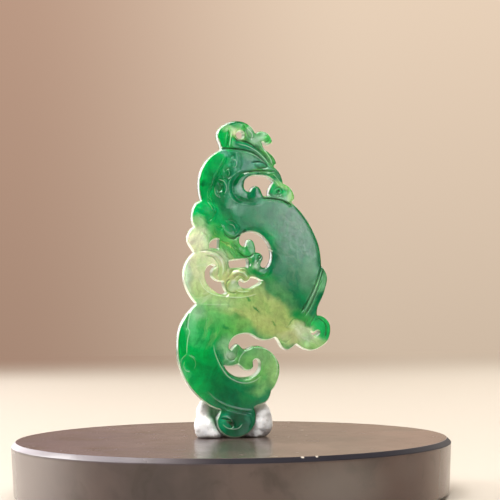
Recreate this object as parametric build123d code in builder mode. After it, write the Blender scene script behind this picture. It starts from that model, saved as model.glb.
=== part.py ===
from build123d import *
import os

# A carved openwork jade pendant, standing on a round stone stand and held by white putty.
# Millimetres. The origin is the centre of the stand's underside, +Z is up, and the front faces -Y.

# Pendant
pendant_width = 28.3
pendant_height = 57.8
pendant_thickness = 4.0
foot_centre = 35.0        # percent of the width that stands over the stand's axis
cord_hole_radius = 0.68
line_width = 0.42
line_depth = 0.32

# Stand
stand_diameter = 80.0
stand_height = 10.6
stand_bevel = 0.8
stand_base_bevel = 0.9
stand_side_taper = 0.4    # how much smaller the radius is at the base

# Putty
seat_gap = 0.1            # between each piece and what carries it
putty_clearance = 0.15    # between the putty and the jade
putty_front = 0.9         # how far the lobes reach in front of the middle of the plate
putty_back = 5.2          # how far the putty reaches behind the plate
left_lobe_width = 3.3
right_lobe_width = 3.0
left_lobe_top = 10.5      # percent of the pendant's height, under the body and the tail
right_lobe_top = 10.4
lobe_middle_share = 2.8   # percent of the pendant's height where a lobe is widest
lobe_rounding = 1.2       # how far from each end a lobe starts to narrow
lobe_end_size = 0.6       # the size of a lobe's end, as a share of its middle
putty_web_height = 4.4

# The outline, clockwise from the notch behind the crest. Each row is one smooth stretch between two
# corners, and ends at the first point of the next row. Points are percent of the width from the left,
# and percent of the height from the foot.
outline = {
    "crest loop": [(29.2, 90.8), (28.5, 92.7), (26.9, 95.0), (28.5, 97.5), (32.4, 99.0), (37.5, 99.9),
                   (43.5, 99.75), (48.4, 98.5)],
    "crest hook": [(52.0, 96.0), (54.2, 96.6), (58.2, 96.5), (61.8, 95.0), (63.0, 93.1), (60.8, 92.15),
                   (57.9, 92.6)],
    "hook stem": [(56.6, 93.1), (57.4, 91.6), (61.4, 89.7), (64.8, 87.8), (65.3, 85.9)],
    "brow": [(63.9, 85.4), (67.3, 83.8), (69.2, 81.8)],
    "chin": [(69.9, 80.1), (73.5, 79.2), (76.4, 77.3), (77.0, 75.0)],
    "back": [(75.5, 74.0), (80.9, 71.4), (85.7, 68.2), (89.9, 64.3), (92.7, 60.7), (94.0, 57.1)],
    "wing": [(94.4, 54.0), (96.7, 52.5), (98.2, 50.2), (97.3, 47.4), (94.9, 43.8), (91.4, 39.9)],
    "claw": [(91.3, 38.4), (95.7, 37.8), (99.3, 35.8), (99.9, 33.0), (97.4, 29.6), (92.6, 27.9),
             (86.8, 27.0), (82.0, 27.6)],
    "claw bump": [(77.2, 29.1), (74.7, 28.1), (71.7, 27.3), (67.8, 28.1), (65.6, 30.2)],
    "slot top": [(63.2, 31.3), (57.0, 30.55), (52.0, 31.1), (47.8, 32.4), (42.5, 32.65), (37.5, 31.9),
                 (34.2, 30.0), (33.6, 28.1)],
    "slot hook": [(34.4, 27.7), (36.5, 29.0), (39.2, 29.75), (41.5, 28.6)],
    "tail scroll": [(44.3, 28.0), (48.1, 28.75), (53.0, 28.95), (58.0, 28.0), (62.6, 26.1), (65.8, 23.6),
                    (66.4, 20.7), (64.8, 17.6), (62.2, 15.3)],
    "under tail": [(60.8, 14.6), (59.8, 12.8), (57.7, 11.2), (52.7, 10.15)],
    "foot scroll": [(49.6, 9.4), (50.7, 6.5), (49.9, 4.2), (47.2, 2.1), (43.0, 0.6), (37.5, 0.0),
                    (32.0, 0.4), (28.0, 1.7), (25.3, 3.9), (25.0, 6.0), (26.4, 7.6)],
    "lower body": [(27.2, 8.9), (21.6, 9.9), (15.6, 12.0), (8.7, 15.5), (3.1, 20.2), (0.2, 25.3),
                   (0.0, 29.5), (0.9, 34.0), (4.8, 38.2), (8.5, 40.5)],
    "scroll back": [(12.3, 42.4), (9.0, 44.5), (6.1, 47.2), (4.2, 51.3), (5.1, 54.2), (7.7, 56.7)],
    "lower curl": [(11.2, 58.6), (9.3, 60.1), (6.9, 62.8), (8.0, 64.8)],
    "upper curl": [(11.5, 66.8), (10.1, 69.5), (10.5, 71.3), (13.0, 74.1)],
    "head back": [(16.1, 74.9), (14.7, 78.7), (14.9, 81.5), (17.5, 85.6), (23.0, 89.0)],
}

# The pierced openings, in the same percents. Each opening is a loop of smooth stretches, and each
# stretch ends at the first point of the next one.
openings = {
    "beak": [[(62.9, 80.6), (60.8, 78.9)],
             [(59.7, 76.3)],
             [(57.0, 76.2), (55.7, 77.5), (54.1, 79.0), (51.4, 79.5), (49.1, 78.8), (47.4, 77.65),
              (45.1, 78.3), (44.4, 79.6), (45.6, 81.2), (49.4, 82.3), (54.5, 82.45), (59.4, 82.0)]],
    "curl notch": [[(21.3, 60.1), (22.8, 62.0)],
                   [(27.2, 62.6)],
                   [(27.0, 59.7)]],
    "great crescent": [[(51.5, 58.5), (54.7, 58.05), (56.4, 56.9), (55.3, 55.2), (54.6, 54.2),
                        (57.3, 53.6), (60.0, 54.7), (61.4, 57.4), (60.2, 60.1), (56.8, 62.6),
                        (52.0, 64.35), (46.2, 64.65), (42.0, 63.7), (41.0, 61.8)],
                       [(43.6, 60.3), (45.1, 61.0), (45.9, 62.3), (48.5, 62.6), (50.8, 61.1)]],
    "window": [[(34.2, 55.7)],
               [(45.3, 56.3), (46.2, 55.2)],
               [(45.6, 53.8)],
               [(35.0, 53.5), (34.0, 54.5)]],
    "scroll crescent": [[(25.0, 54.0), (22.0, 54.55), (19.0, 53.1), (18.5, 50.7), (20.4, 48.4),
                         (24.6, 46.4), (30.0, 45.35)],
                        [(32.0, 45.9), (30.6, 47.3)],
                        [(29.8, 49.3), (25.3, 49.6), (22.7, 50.8), (22.4, 52.5)]],
    "small crescent": [[(41.5, 49.8), (44.1, 48.9), (46.6, 49.3)],
                       [(47.8, 50.3), (51.6, 50.1)],
                       [(54.6, 49.1), (50.8, 48.0), (45.5, 47.1), (41.2, 47.8), (40.1, 49.0)]],
    "claw comma": [[(87.2, 33.1), (88.8, 31.9)],
                   [(92.4, 32.9), (90.9, 33.45), (89.4, 32.8)]],
    "tail crescent": [[(30.6, 22.7), (35.0, 22.5)],
                      [(39.2, 23.1), (41.0, 22.2), (44.0, 21.2), (47.9, 21.3), (49.4, 22.6),
                       (49.1, 24.0), (51.1, 24.7), (53.4, 23.4), (53.0, 21.6), (50.1, 19.85),
                       (44.6, 19.0), (38.5, 19.3), (33.6, 20.7)]],
}
cord_hole_at = (42.0, 95.4)

# Where the foot scroll is widest, in percent across.
foot_left = 24.9
foot_right = 50.7

# The main carved lines, cut alike into the front and the back.
carved_lines = {
    "crest foot": [(31.5, 91.1), (40.0, 91.2), (49.0, 90.5), (56.0, 88.7), (59.6, 86.6)],
    "crest rise": [(38.0, 93.3), (43.5, 93.4), (49.5, 92.7), (55.4, 91.0), (60.3, 88.0)],
    "eye upper": [(51.7, 87.0), (54.6, 86.95), (57.8, 86.6)],
    "eye lower": [(52.8, 85.9), (56.1, 85.2), (59.9, 85.8)],
    "mane edge": [(30.6, 88.6), (27.2, 85.5), (24.5, 81.2), (21.6, 78.0), (21.6, 75.6)],
    "jaw": [(64.2, 84.2), (55.0, 84.3), (45.0, 84.4), (39.0, 83.0), (36.3, 80.0), (37.8, 76.3),
            (43.0, 74.5), (51.0, 74.4)],
    "chin foot": [(59.0, 75.4), (66.0, 75.2), (73.6, 73.7)],
    "upper curl": [(20.8, 74.3), (24.6, 72.6), (24.8, 70.6), (21.2, 69.7)],
    "lower curl": [(14.5, 63.6), (17.2, 63.9), (18.6, 62.6), (17.0, 61.5)],
    "middle curl": [(34.6, 68.2), (38.2, 67.6), (39.8, 65.7)],
    "middle arc": [(31.6, 64.7), (34.8, 63.4), (38.6, 63.2)],
    "scroll band": [(14.2, 58.0), (20.5, 58.4), (27.5, 57.4), (31.6, 54.6), (31.6, 52.0)],
    "scroll foot": [(24.0, 45.0), (31.0, 44.4), (39.5, 44.4), (49.0, 45.2)],
    "small scroll": [(34.6, 51.6), (39.6, 52.4), (44.6, 52.0)],
    "wing inner": [(91.4, 52.6), (90.0, 47.4), (86.6, 43.4), (81.4, 39.6)],
    "wing outer": [(94.6, 50.6), (92.8, 46.6), (89.4, 42.8), (84.6, 39.9)],
    "claw arc": [(83.2, 32.6), (86.0, 34.6), (90.4, 35.4), (94.6, 34.0)],
    "body edge": [(12.6, 41.0), (8.2, 38.0), (6.6, 34.4), (8.2, 33.2), (6.6, 29.2)],
    "side curl": [(3.2, 26.0), (3.0, 23.2), (6.2, 20.9), (10.8, 21.8), (11.6, 24.4), (8.6, 25.8)],
    "tail line": [(25.4, 28.2), (27.6, 24.2), (32.2, 20.0), (38.8, 17.7), (48.0, 17.4)],
    "tail rim": [(45.0, 27.0), (53.0, 27.4), (60.0, 25.9), (63.6, 22.8)],
    "hook facet": [(31.6, 27.2), (33.6, 25.2), (37.2, 25.4), (39.6, 27.8)],
    "foot line": [(21.0, 14.0), (27.0, 11.9), (35.0, 10.1), (45.0, 8.9)],
    "foot curl": [(30.4, 7.2), (35.2, 6.6), (38.2, 4.7), (35.6, 2.9), (31.0, 3.6)],
}

pendant_foot = stand_height + seat_gap
plate_back = pendant_thickness / 2


def at(across, up):
    """The place, on a plane facing the front, of a point in percent of the pendant's size."""
    return (
        (across - foot_centre) / 100 * pendant_width,
        pendant_foot + up / 100 * pendant_height,
    )


def loop(stretches):
    """A closed run of smooth stretches, each from its first point to the next one's."""
    for here, following in zip(stretches, stretches[1:] + stretches[:1]):
        places = [at(*point) for point in here + following[:1]]
        if len(places) == 2:
            Line(*places)
        else:
            Spline(*places)


def carve(face_plane, depth):
    """Cut every carved line into the part that is being built, from one face of the plate."""
    for points in carved_lines.values():
        with BuildSketch(face_plane) as strip:
            with BuildLine() as course:
                Spline(*[at(*point) for point in points])
            trace(course.edges(), line_width=line_width)
        extrude(strip.sketch, amount=depth, mode=Mode.SUBTRACT)


# The jade plate: its outline, less the openings and the cord hole, with lines carved on both faces.
with BuildPart() as pendant:
    with BuildSketch(Plane.XZ) as plate:
        with BuildLine():
            loop(list(outline.values()))
        make_face()
        for stretches in openings.values():
            with BuildLine():
                loop(stretches)
            make_face(mode=Mode.SUBTRACT)
        with Locations(at(*cord_hole_at)):
            Circle(cord_hole_radius, mode=Mode.SUBTRACT)
    extrude(amount=pendant_thickness / 2, both=True)
    carve(Plane.XZ.offset(pendant_thickness / 2), -line_depth)
    carve(Plane.XZ.offset(-pendant_thickness / 2), line_depth)

# The stand: a turned disc, a little narrower at its base, with both edges bevelled.
with BuildPart() as stand:
    top_radius = stand_diameter / 2
    base_radius = top_radius - stand_side_taper
    with BuildSketch(Plane.XZ):
        with BuildLine():
            Polyline(
                (0, 0),
                (base_radius - stand_base_bevel, 0),
                (base_radius, stand_base_bevel),
                (top_radius, stand_height - stand_bevel),
                (top_radius - stand_bevel, stand_height),
                (0, stand_height),
                close=True,
            )
        make_face()
    revolve(axis=Axis.Z)


def lobe(side_gap_at, width, top_share, outwards):
    """One upright lobe of putty beside the foot: an ellipse that narrows to the front and the back."""
    foot_x = at(side_gap_at, 0)[0]
    middle = foot_x + outwards * (putty_clearance + width / 2)
    low = lobe_middle_share / 100 * pendant_height
    high = top_share / 100 * pendant_height - low - putty_clearance
    stations = [
        (putty_front, lobe_end_size),
        (putty_front - lobe_rounding, 1.0),
        (lobe_rounding - plate_back - putty_back, 1.0),
        (-plate_back - putty_back, lobe_end_size),
    ]
    sections = []
    for forward, size in stations:
        with BuildSketch(Plane.XZ.offset(forward)) as section_sketch:
            with Locations((middle, pendant_foot + low)):
                Ellipse(width / 2 * size, high * size)
        sections.append(section_sketch.sketch.faces()[0])
    loft(sections, ruled=True)


# The putty: one lump behind the foot, with a lobe on each side of it.
with BuildPart() as putty:
    lobe(foot_left, left_lobe_width, left_lobe_top, -1)
    lobe(foot_right, right_lobe_width, right_lobe_top, 1)
    left_middle = at(foot_left, 0)[0] - putty_clearance - left_lobe_width / 2
    right_middle = at(foot_right, 0)[0] + putty_clearance + right_lobe_width / 2
    with BuildSketch(Plane.YZ.offset(left_middle)):
        with BuildLine():
            front = plate_back + putty_clearance
            rear = plate_back + putty_back - lobe_rounding
            Polyline(
                (front, 0),
                (front, stand_height + putty_web_height),
                ((front + rear) / 2, stand_height + putty_web_height),
                (rear, stand_height + putty_web_height / 2),
                (rear, 0),
                close=True,
            )
        make_face()
    extrude(amount=right_middle - left_middle)
    split(bisect_by=Plane.XY.offset(stand_height + seat_gap), keep=Keep.TOP)

pendant.part.label = "pendant"
putty.part.label = "putty"
stand.part.label = "stand"

os.makedirs("parts", exist_ok=True)
export_step(pendant.part, "parts/pendant.step")
export_step(putty.part, "parts/putty.step")
export_step(stand.part, "parts/stand.step")
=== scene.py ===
import math
import bmesh
import bpy
import numpy as np
from itertools import accumulate
from mathutils import Matrix, Vector, noise
from mathutils.bvhtree import BVHTree
from mathutils.geometry import delaunay_2d_cdt


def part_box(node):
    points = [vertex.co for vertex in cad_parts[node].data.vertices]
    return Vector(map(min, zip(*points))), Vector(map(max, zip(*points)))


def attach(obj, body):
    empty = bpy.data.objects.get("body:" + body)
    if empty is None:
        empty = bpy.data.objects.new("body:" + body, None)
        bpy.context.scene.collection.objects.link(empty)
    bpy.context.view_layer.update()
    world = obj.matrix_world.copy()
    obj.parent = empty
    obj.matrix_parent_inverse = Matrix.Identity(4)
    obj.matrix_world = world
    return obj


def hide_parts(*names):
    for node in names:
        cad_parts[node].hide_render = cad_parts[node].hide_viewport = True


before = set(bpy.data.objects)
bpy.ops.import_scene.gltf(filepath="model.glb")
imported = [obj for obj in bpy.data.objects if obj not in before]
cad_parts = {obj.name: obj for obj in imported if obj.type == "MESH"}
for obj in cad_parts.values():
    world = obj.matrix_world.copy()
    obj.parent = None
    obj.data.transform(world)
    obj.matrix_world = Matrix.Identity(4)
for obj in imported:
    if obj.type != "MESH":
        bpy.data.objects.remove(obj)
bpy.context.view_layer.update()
mm = 0.001

jadeLow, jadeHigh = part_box("pendant")
standLow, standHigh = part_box("stand")
standTop = standHigh.z
print("frame loaded", sorted(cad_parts))


def at(across, up):  # percent of the pendant's width and height, as millimetres in its plane
    wide, tall = jadeHigh.x - jadeLow.x, jadeHigh.z - jadeLow.z
    return np.array([jadeLow.x + across / 100 * wide, jadeLow.z + up / 100 * tall]) / mm


def newObject(name, data):
    made = bpy.data.objects.new(name, data)
    bpy.context.scene.collection.objects.link(made)
    return made


# camera: where the photo was taken from, a little to the left of the plate's front
cameraPlace = {
    "azimuth": -8.0,       # degrees
    "distance": 400.0,     # mm from the stand's axis
    "height": 34.3,        # mm above the stand's top
    "aside": 3.78,         # mm to its right
    "roll": -0.59,         # degrees
    "lens": 157.7,         # mm
    "sensor": 36.0,        # mm wide
    "sees": (0.01, 20.0),  # m, from nearest to farthest
}


def placeCamera():
    turn = math.radians(cameraPlace["azimuth"])
    ahead = Vector((-math.sin(turn), math.cos(turn), 0))
    right = Vector((math.cos(turn), math.sin(turn), 0))
    spot = right * cameraPlace["aside"] - ahead * cameraPlace["distance"]
    spot.z = standTop / mm + cameraPlace["height"]
    data = bpy.data.cameras.new("camera")
    data.lens = cameraPlace["lens"]
    data.sensor_width = cameraPlace["sensor"]
    data.clip_start, data.clip_end = cameraPlace["sees"]
    camera = newObject("camera", data)
    facing = Matrix.Rotation(turn, 3, "Z") @ Matrix.Rotation(math.pi / 2, 3, "X")
    facing = facing @ Matrix.Rotation(math.radians(cameraPlace["roll"]), 3, "Z")
    camera.matrix_world = Matrix.Translation(spot * mm) @ facing.to_4x4()
    bpy.context.scene.camera = camera
    print("camera at", [round(v, 1) for v in spot])


# pendant
pendantSizes = {
    "edgeStep": 0.17,      # mm between points along an edge
    "fillStep": 0.215,     # mm between points on the faces
    "lineStep": 0.17,      # mm between points along a carved line
    "rimRadius": 0.24,     # rounding of the rims
    "crown": 0.04,         # how much lower a face is beside its edge
    "crownReach": 0.8,     # mm over which it rises again
    "wallBow": 0.11,       # how far a wall's middle stands out
    "wallLevels": (-0.82, -0.5, -0.17, 0.17, 0.5, 0.82),  # its rows of points, as shares of half its height
    "beadRise": 0.06,      # how far a raised line stands over the face around it
    "faceSink": 0.07,      # the face lies this much under the blank it was cut from
    "deepest": 1.25,       # no cut goes deeper into a face
    "cornerTurn": 32.0,    # degrees from which a turn of the outline is a corner
    "lineEnd": 0.35,       # what is left of a line's depth and width at its ends
    "lineFade": 0.14,      # share of its length over which it runs out
    "rimRows": {0.05: 0.04, 0.16: 0.09, 0.30: 0.09, 0.46: 0.09},  # mm from the edge, and the gap kept
    "lineRows": (0.0, 0.5, -0.5, 0.27, -0.27),  # rows of points along a line, as shares of its width
    "lineRoom": (0.10, 0.075),                  # mm that these keep from the edges and from other points
    "fillRoom": (0.50, 0.72),                   # and the fill: mm from the edges, and a share of its step
    "curveSteps": 12,      # places between two given points of a line
    "edgeSmoothing": 3,    # passes
    "rippleFade": (1.2, 0.7),   # ripples run out between these shares of their half sizes
    "rippleWaves": (1.3, 1.6),  # how many to a mm, and how strong
    "polished": 3,         # the outline and the two largest openings; the walls of the others are sawn
}

# the carved lines: kind, width in mm, depth in mm, and points in percent across and up
# a cut is a groove with painted shade in it, and a bead is a thin raised line with a painted highlight on it
carvedLines = {
    "crestLobe": ("cut", 0.34, 0.22, [(34.4, 97.2), (35.1, 95.8), (34.6, 94.5), (33.5, 91.6)]),
    "crestLobeBead": ("bead", 0.34, 0.08, [(36.0, 96.8), (36.2, 95.4), (35.5, 93.8), (34.9, 91.8)]),
    "crestSide": ("cut", 0.32, 0.24, [(44.4, 98.6), (46.0, 97.0), (47.0, 95.1), (48.7, 94.4), (50.8, 94.7)]),
    "crestSideBead": ("bead", 0.24, 0.08, [(46.0, 97.8), (48.4, 96.6), (49.9, 95.4), (49.1, 93.6)]),
    "crestRise": ("cut", 0.48, 0.34, [(36.8, 95.5), (39.6, 93.9), (46.1, 93.1), (52.1, 91.3), (57.7, 88.7),
                                      (61.5, 86.0)]),
    "crestBead": ("bead", 0.26, 0.08, [(40.0, 92.7), (46.9, 91.8), (52.9, 90.1), (57.6, 87.9), (60.4, 86.1)]),
    "crestFoot": ("cut", 0.50, 0.36, [(27.9, 91.2), (33.9, 91.1), (42.5, 90.7), (50.3, 89.7), (55.9, 87.5),
                                      (59.8, 85.3)]),
    "browBead": ("bead", 0.24, 0.06, [(45.1, 90.0), (50.4, 89.2), (56.3, 87.3), (59.1, 86.0)]),
    "stemInner": ("cut", 0.30, 0.26, [(51.5, 92.4), (56.4, 90.0), (60.4, 87.6), (62.3, 85.7)]),
    "stemBead": ("bead", 0.26, 0.08, [(54.0, 93.2), (58.4, 90.0), (61.4, 87.9), (62.5, 86.0)]),
    "stemOuter": ("cut", 0.28, 0.24, [(55.1, 93.2), (58.0, 90.9), (61.6, 88.5), (63.0, 86.2)]),
    "hookCurl": ("cut", 0.32, 0.22, [(57.4, 93.3), (59.4, 93.1), (60.7, 93.8), (60.0, 94.9), (57.6, 95.2)]),
    "eyeUpper": ("cut", 0.34, 0.32, [(49.7, 86.8), (53.4, 86.9), (57.0, 86.4), (59.8, 85.1)]),
    "eyeLower": ("cut", 0.32, 0.30, [(51.2, 86.0), (53.6, 85.0), (56.6, 84.9), (59.6, 85.1)]),
    "cheek": ("cut", 0.60, 0.05, [(40.8, 90.2), (42.0, 88.0), (41.8, 86.0), (39.8, 84.6)]),
    "maneCurlTop": ("bead", 0.28, 0.06, [(36.6, 87.9), (38.8, 87.4), (39.5, 86.3), (38.4, 85.3),
                                         (36.6, 85.4)]),
    "maneCurlTopCut": ("cut", 0.30, 0.12, [(35.1, 88.2), (37.9, 88.8), (36.9, 87.0), (35.6, 86.2)]),
    "maneCurlMid": ("cut", 0.32, 0.14, [(31.8, 84.2), (34.6, 84.9), (36.5, 83.6), (35.0, 82.2),
                                        (31.4, 82.0)]),
    "maneCurlMidBead": ("bead", 0.26, 0.03, [(34.0, 84.4), (34.8, 83.4), (34.0, 82.6)]),
    "maneCurlMidPit": ("cut", 0.26, 0.10, [(28.9, 83.8), (28.3, 82.8), (29.8, 82.0)]),
    "maneGreat": ("cut", 0.34, 0.12, [(28.3, 80.2), (30.3, 79.4), (29.8, 78.2), (27.8, 77.6)]),
    "maneGreatBead": ("bead", 0.28, 0.06, [(27.7, 81.5), (31.4, 80.7), (32.9, 78.6), (31.4, 76.8)]),
    "maneGreatBeadLow": ("bead", 0.26, 0.06, [(25.0, 78.8), (25.6, 76.9), (27.6, 75.9)]),
    "maneSide": ("cut", 0.32, 0.10, [(33.4, 81.6), (34.2, 79.6), (33.8, 77.8), (32.4, 76.2)]),
    "maneStart": ("cut", 0.30, 0.10, [(31.3, 90.2), (33.4, 89.6), (34.2, 88.4)]),
    "maneEdgeCut": ("cut", 0.34, 0.07, [(33.2, 89.4), (31.9, 87.2), (29.0, 85.2), (26.4, 82.6), (24.3, 79.8),
                                        (22.0, 77.6), (22.0, 76.0), (24.4, 73.6)]),
    "jawTop": ("cut", 0.50, 0.11, [(60.6, 83.5), (52.7, 83.9), (46.2, 83.7), (42.6, 83.2)]),
    "jaw": ("cut", 0.92, 0.10, [(45.0, 83.6), (41.0, 82.8), (37.6, 80.8), (36.8, 78.0), (39.3, 75.7),
                                (44.6, 74.3), (50.6, 74.3), (55.3, 75.1)]),
    "jawBead": ("bead", 0.24, 0.03, [(43.0, 84.6), (38.9, 83.4), (35.5, 81.6), (34.2, 79.4), (34.5, 76.9),
                                     (37.2, 74.8), (41.8, 73.7), (47.3, 73.4)]),
    "beakLine": ("cut", 0.30, 0.30, [(64.3, 83.7), (58.6, 84.0), (52.8, 84.0), (46.3, 83.8)]),
    "jawTip": ("cut", 0.46, 0.08, [(46.9, 75.3), (47.9, 76.6), (49.4, 77.6), (51.0, 78.6)]),
    "beakStrandOne": ("bead", 0.24, 0.06, [(58.2, 82.9), (62.0, 81.8), (65.0, 80.5), (67.2, 79.0)]),
    "beakStrandTwo": ("bead", 0.24, 0.06, [(62.6, 83.3), (65.4, 81.9), (68.2, 80.0)]),
    "beakLip": ("cut", 0.26, 0.14, [(52.0, 83.2), (57.4, 83.2), (62.8, 82.3)]),
    "chinCurl": ("cut", 0.32, 0.24, [(64.0, 78.0), (66.4, 78.8), (68.6, 77.8), (67.4, 76.5), (64.4, 76.4)]),
    "chinCut": ("cut", 0.28, 0.18, [(59.9, 77.4), (61.8, 76.2), (65.2, 75.8), (69.4, 75.8)]),
    "chinFoot": ("cut", 0.44, 0.42, [(55.9, 75.5), (60.3, 75.3), (66.0, 75.0), (71.0, 74.2), (75.4, 72.9)]),
    "upperCurl": ("cut", 0.34, 0.07, [(20.8, 75.3), (23.2, 74.0), (25.4, 72.4), (25.4, 70.6), (23.4, 69.2),
                                      (20.8, 68.5)]),
    "upperCurlBead": ("bead", 0.24, 0.05, [(20.4, 74.4), (22.4, 73.2), (23.6, 72.0)]),
    "upperCurlTwo": ("cut", 0.28, 0.08, [(15.2, 69.9), (18.0, 68.6), (20.8, 67.3)]),
    "upperCurlGrain": ("cut", 0.26, 0.05, [(10.4, 74.2), (13.4, 73.2), (17.0, 73.0)]),
    "upperCurlGrainTwo": ("cut", 0.26, 0.05, [(12.0, 72.0), (15.8, 70.7), (19.4, 70.4)]),
    "lowerCurl": ("cut", 0.30, 0.14, [(16.6, 65.0), (19.2, 64.0), (20.6, 62.6)]),
    "middleCurl": ("cut", 0.36, 0.08, [(33.0, 68.4), (36.4, 68.3), (39.2, 67.2), (40.1, 65.9), (37.8, 64.8)]),
    "middleCurlBead": ("bead", 0.28, 0.05, [(34.6, 67.4), (36.9, 67.0), (38.0, 65.9)]),
    "middleRing": ("bead", 0.26, 0.03, [(27.8, 66.5), (29.4, 66.8), (30.2, 66.0), (28.4, 65.4)]),
    "middleArc": ("cut", 0.42, 0.24, [(30.5, 64.7), (33.4, 63.2), (37.0, 62.7), (40.9, 63.8), (43.6, 64.9),
                                      (46.4, 65.2)]),
    "middleArcBead": ("bead", 0.24, 0.03, [(31.2, 65.4), (34.0, 64.3), (37.4, 63.7), (40.2, 64.4)]),
    "hookPit": ("cut", 0.40, 0.30, [(46.4, 62.4), (45.2, 61.4), (45.6, 60.4)]),
    "hookLobe": ("cut", 0.34, 0.26, [(40.4, 58.4), (43.4, 57.2), (47.0, 57.0), (50.3, 58.0)]),
    "lobeCurl": ("cut", 0.28, 0.26, [(52.3, 54.9), (53.0, 56.1), (54.9, 56.9), (54.1, 57.4), (52.8, 56.9)]),
    "lobeLow": ("cut", 0.40, 0.05, [(46.6, 56.3), (46.1, 54.0), (48.4, 51.8), (53.6, 50.7), (58.6, 51.2),
                                    (61.6, 53.2)]),
    "scrollBack": ("bead", 0.26, 0.06, [(14.1, 58.5), (9.6, 56.4), (6.9, 53.4), (6.7, 49.6), (8.8, 46.3),
                                        (12.2, 43.6)]),
    "scrollOuter": ("cut", 0.30, 0.20, [(15.1, 59.0), (20.6, 59.2), (26.6, 58.2), (31.2, 55.8), (32.2, 53.2),
                                        (31.4, 51.6)]),
    "scrollRidge": ("bead", 0.44, 0.07, [(20.6, 58.4), (25.8, 57.6), (29.2, 55.6), (30.2, 53.2),
                                         (29.2, 51.2)]),
    "scrollInner": ("cut", 0.34, 0.18, [(18.8, 57.5), (23.4, 57.0), (26.8, 55.0), (27.3, 52.8),
                                        (26.4, 51.0)]),
    "scrollRim": ("bead", 0.24, 0.08, [(14.4, 50.6), (16.6, 48.0), (20.2, 46.2), (25.4, 45.1), (31.7, 44.6),
                                       (38.7, 44.3), (45.0, 44.5), (51.2, 45.2)]),
    "smallOuter": ("cut", 0.30, 0.20, [(33.2, 50.8), (36.4, 52.7), (40.4, 53.2), (44.8, 52.4), (47.4, 50.9)]),
    "smallRidge": ("bead", 0.36, 0.10, [(36.0, 51.4), (39.6, 52.3), (43.4, 51.9), (45.8, 50.6)]),
    "smallInner": ("cut", 0.28, 0.16, [(36.8, 50.4), (39.6, 51.2), (42.3, 50.9), (44.0, 50.0)]),
    "smallRound": ("cut", 0.34, 0.20, [(34.3, 50.2), (32.2, 48.8), (32.2, 47.0), (34.6, 45.8), (38.4, 45.6)]),
    "smallRim": ("bead", 0.26, 0.08, [(38.6, 46.4), (42.6, 46.0), (47.0, 46.3)]),
    "tickOne": ("cut", 0.24, 0.16, [(29.0, 60.6), (30.6, 59.0), (32.6, 57.6)]),
    "tickTwo": ("cut", 0.24, 0.18, [(32.1, 61.0), (34.2, 59.0), (36.5, 57.2)]),
    "tickThree": ("cut", 0.24, 0.18, [(35.0, 60.4), (37.0, 58.4), (39.2, 57.0)]),
    "tickFour": ("cut", 0.24, 0.16, [(38.0, 60.6), (40.0, 58.6), (42.4, 57.3)]),
    "tickFive": ("cut", 0.24, 0.14, [(29.8, 58.4), (32.0, 57.2), (34.6, 56.4)]),
    "tickSix": ("cut", 0.22, 0.12, [(35.6, 61.8), (37.0, 61.0), (38.0, 59.8)]),
    "wingInner": ("cut", 0.36, 0.24, [(94.2, 54.4), (92.0, 50.4), (88.6, 46.2), (85.0, 42.8), (80.8, 39.5)]),
    "wingStrand": ("bead", 0.28, 0.06, [(94.8, 53.4), (92.8, 50.0), (89.8, 46.4), (86.0, 42.6),
                                        (81.8, 38.8)]),
    "wingOuter": ("cut", 0.34, 0.30, [(95.4, 53.0), (93.5, 49.7), (90.8, 45.8), (87.4, 42.0), (83.0, 38.2)]),
    "clawRoot": ("cut", 0.32, 0.26, [(89.9, 39.0), (88.2, 37.1), (86.6, 35.8), (86.0, 34.2)]),
    "clawRootTwo": ("cut", 0.26, 0.16, [(84.8, 37.2), (83.8, 35.9), (82.6, 34.5)]),
    "clawRing": ("cut", 0.36, 0.26, [(90.4, 37.1), (93.4, 36.8), (96.0, 35.4), (96.8, 33.4), (95.6, 31.0)]),
    "bumpArc": ("cut", 0.28, 0.12, [(65.3, 31.3), (69.6, 30.0), (74.2, 31.4)]),
    "bodyEdge": ("bead", 0.26, 0.10, [(12.6, 42.5), (9.4, 40.4), (7.5, 37.4), (7.0, 35.0), (8.0, 33.8),
                                      (7.0, 32.0), (6.2, 29.6), (6.0, 27.0)]),
    "bodyEdgeCut": ("cut", 0.32, 0.22, [(11.4, 42.0), (8.4, 40.0), (6.5, 37.2), (6.0, 34.6)]),
    "sideCurl": ("bead", 0.26, 0.05, [(6.0, 26.8), (2.8, 25.2), (1.5, 23.0), (2.6, 20.6)]),
    "sideCurlRight": ("bead", 0.24, 0.03, [(7.2, 26.4), (10.4, 25.3), (11.7, 23.6), (10.6, 22.0)]),
    "sideCurlInner": ("bead", 0.24, 0.05, [(4.4, 24.4), (4.0, 22.8), (5.4, 21.5), (7.6, 21.0)]),
    "lowEdge": ("bead", 0.24, 0.07, [(3.4, 18.9), (7.8, 16.1), (12.4, 13.5), (17.0, 11.6)]),
    "flankTick": ("bead", 0.24, 0.03, [(19.0, 38.9), (18.7, 35.2), (18.2, 32.4)]),
    "flankBrow": ("bead", 0.22, 0.05, [(15.3, 42.3), (24.5, 42.1), (34.2, 41.9)]),
    "tailLine": ("bead", 0.30, 0.08, [(23.4, 29.4), (23.9, 27.6), (25.4, 25.4), (28.6, 22.1), (32.6, 19.5),
                                      (38.0, 17.9), (43.6, 17.3), (49.4, 17.9), (54.0, 19.4)]),
    "tailLineCut": ("cut", 0.36, 0.22, [(25.4, 27.6), (27.6, 24.4), (31.4, 21.4), (36.4, 19.3), (42.6, 18.5),
                                        (48.4, 19.0)]),
    "tailRim": ("bead", 0.30, 0.07, [(49.6, 28.2), (55.5, 28.2), (60.6, 26.8), (63.8, 24.2), (64.5, 21.4),
                                     (62.8, 18.6)]),
    "tailHollow": ("bead", 0.26, 0.09, [(48.5, 28.0), (43.4, 27.1), (40.0, 25.0), (39.8, 22.8),
                                        (42.6, 21.2)]),
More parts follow.
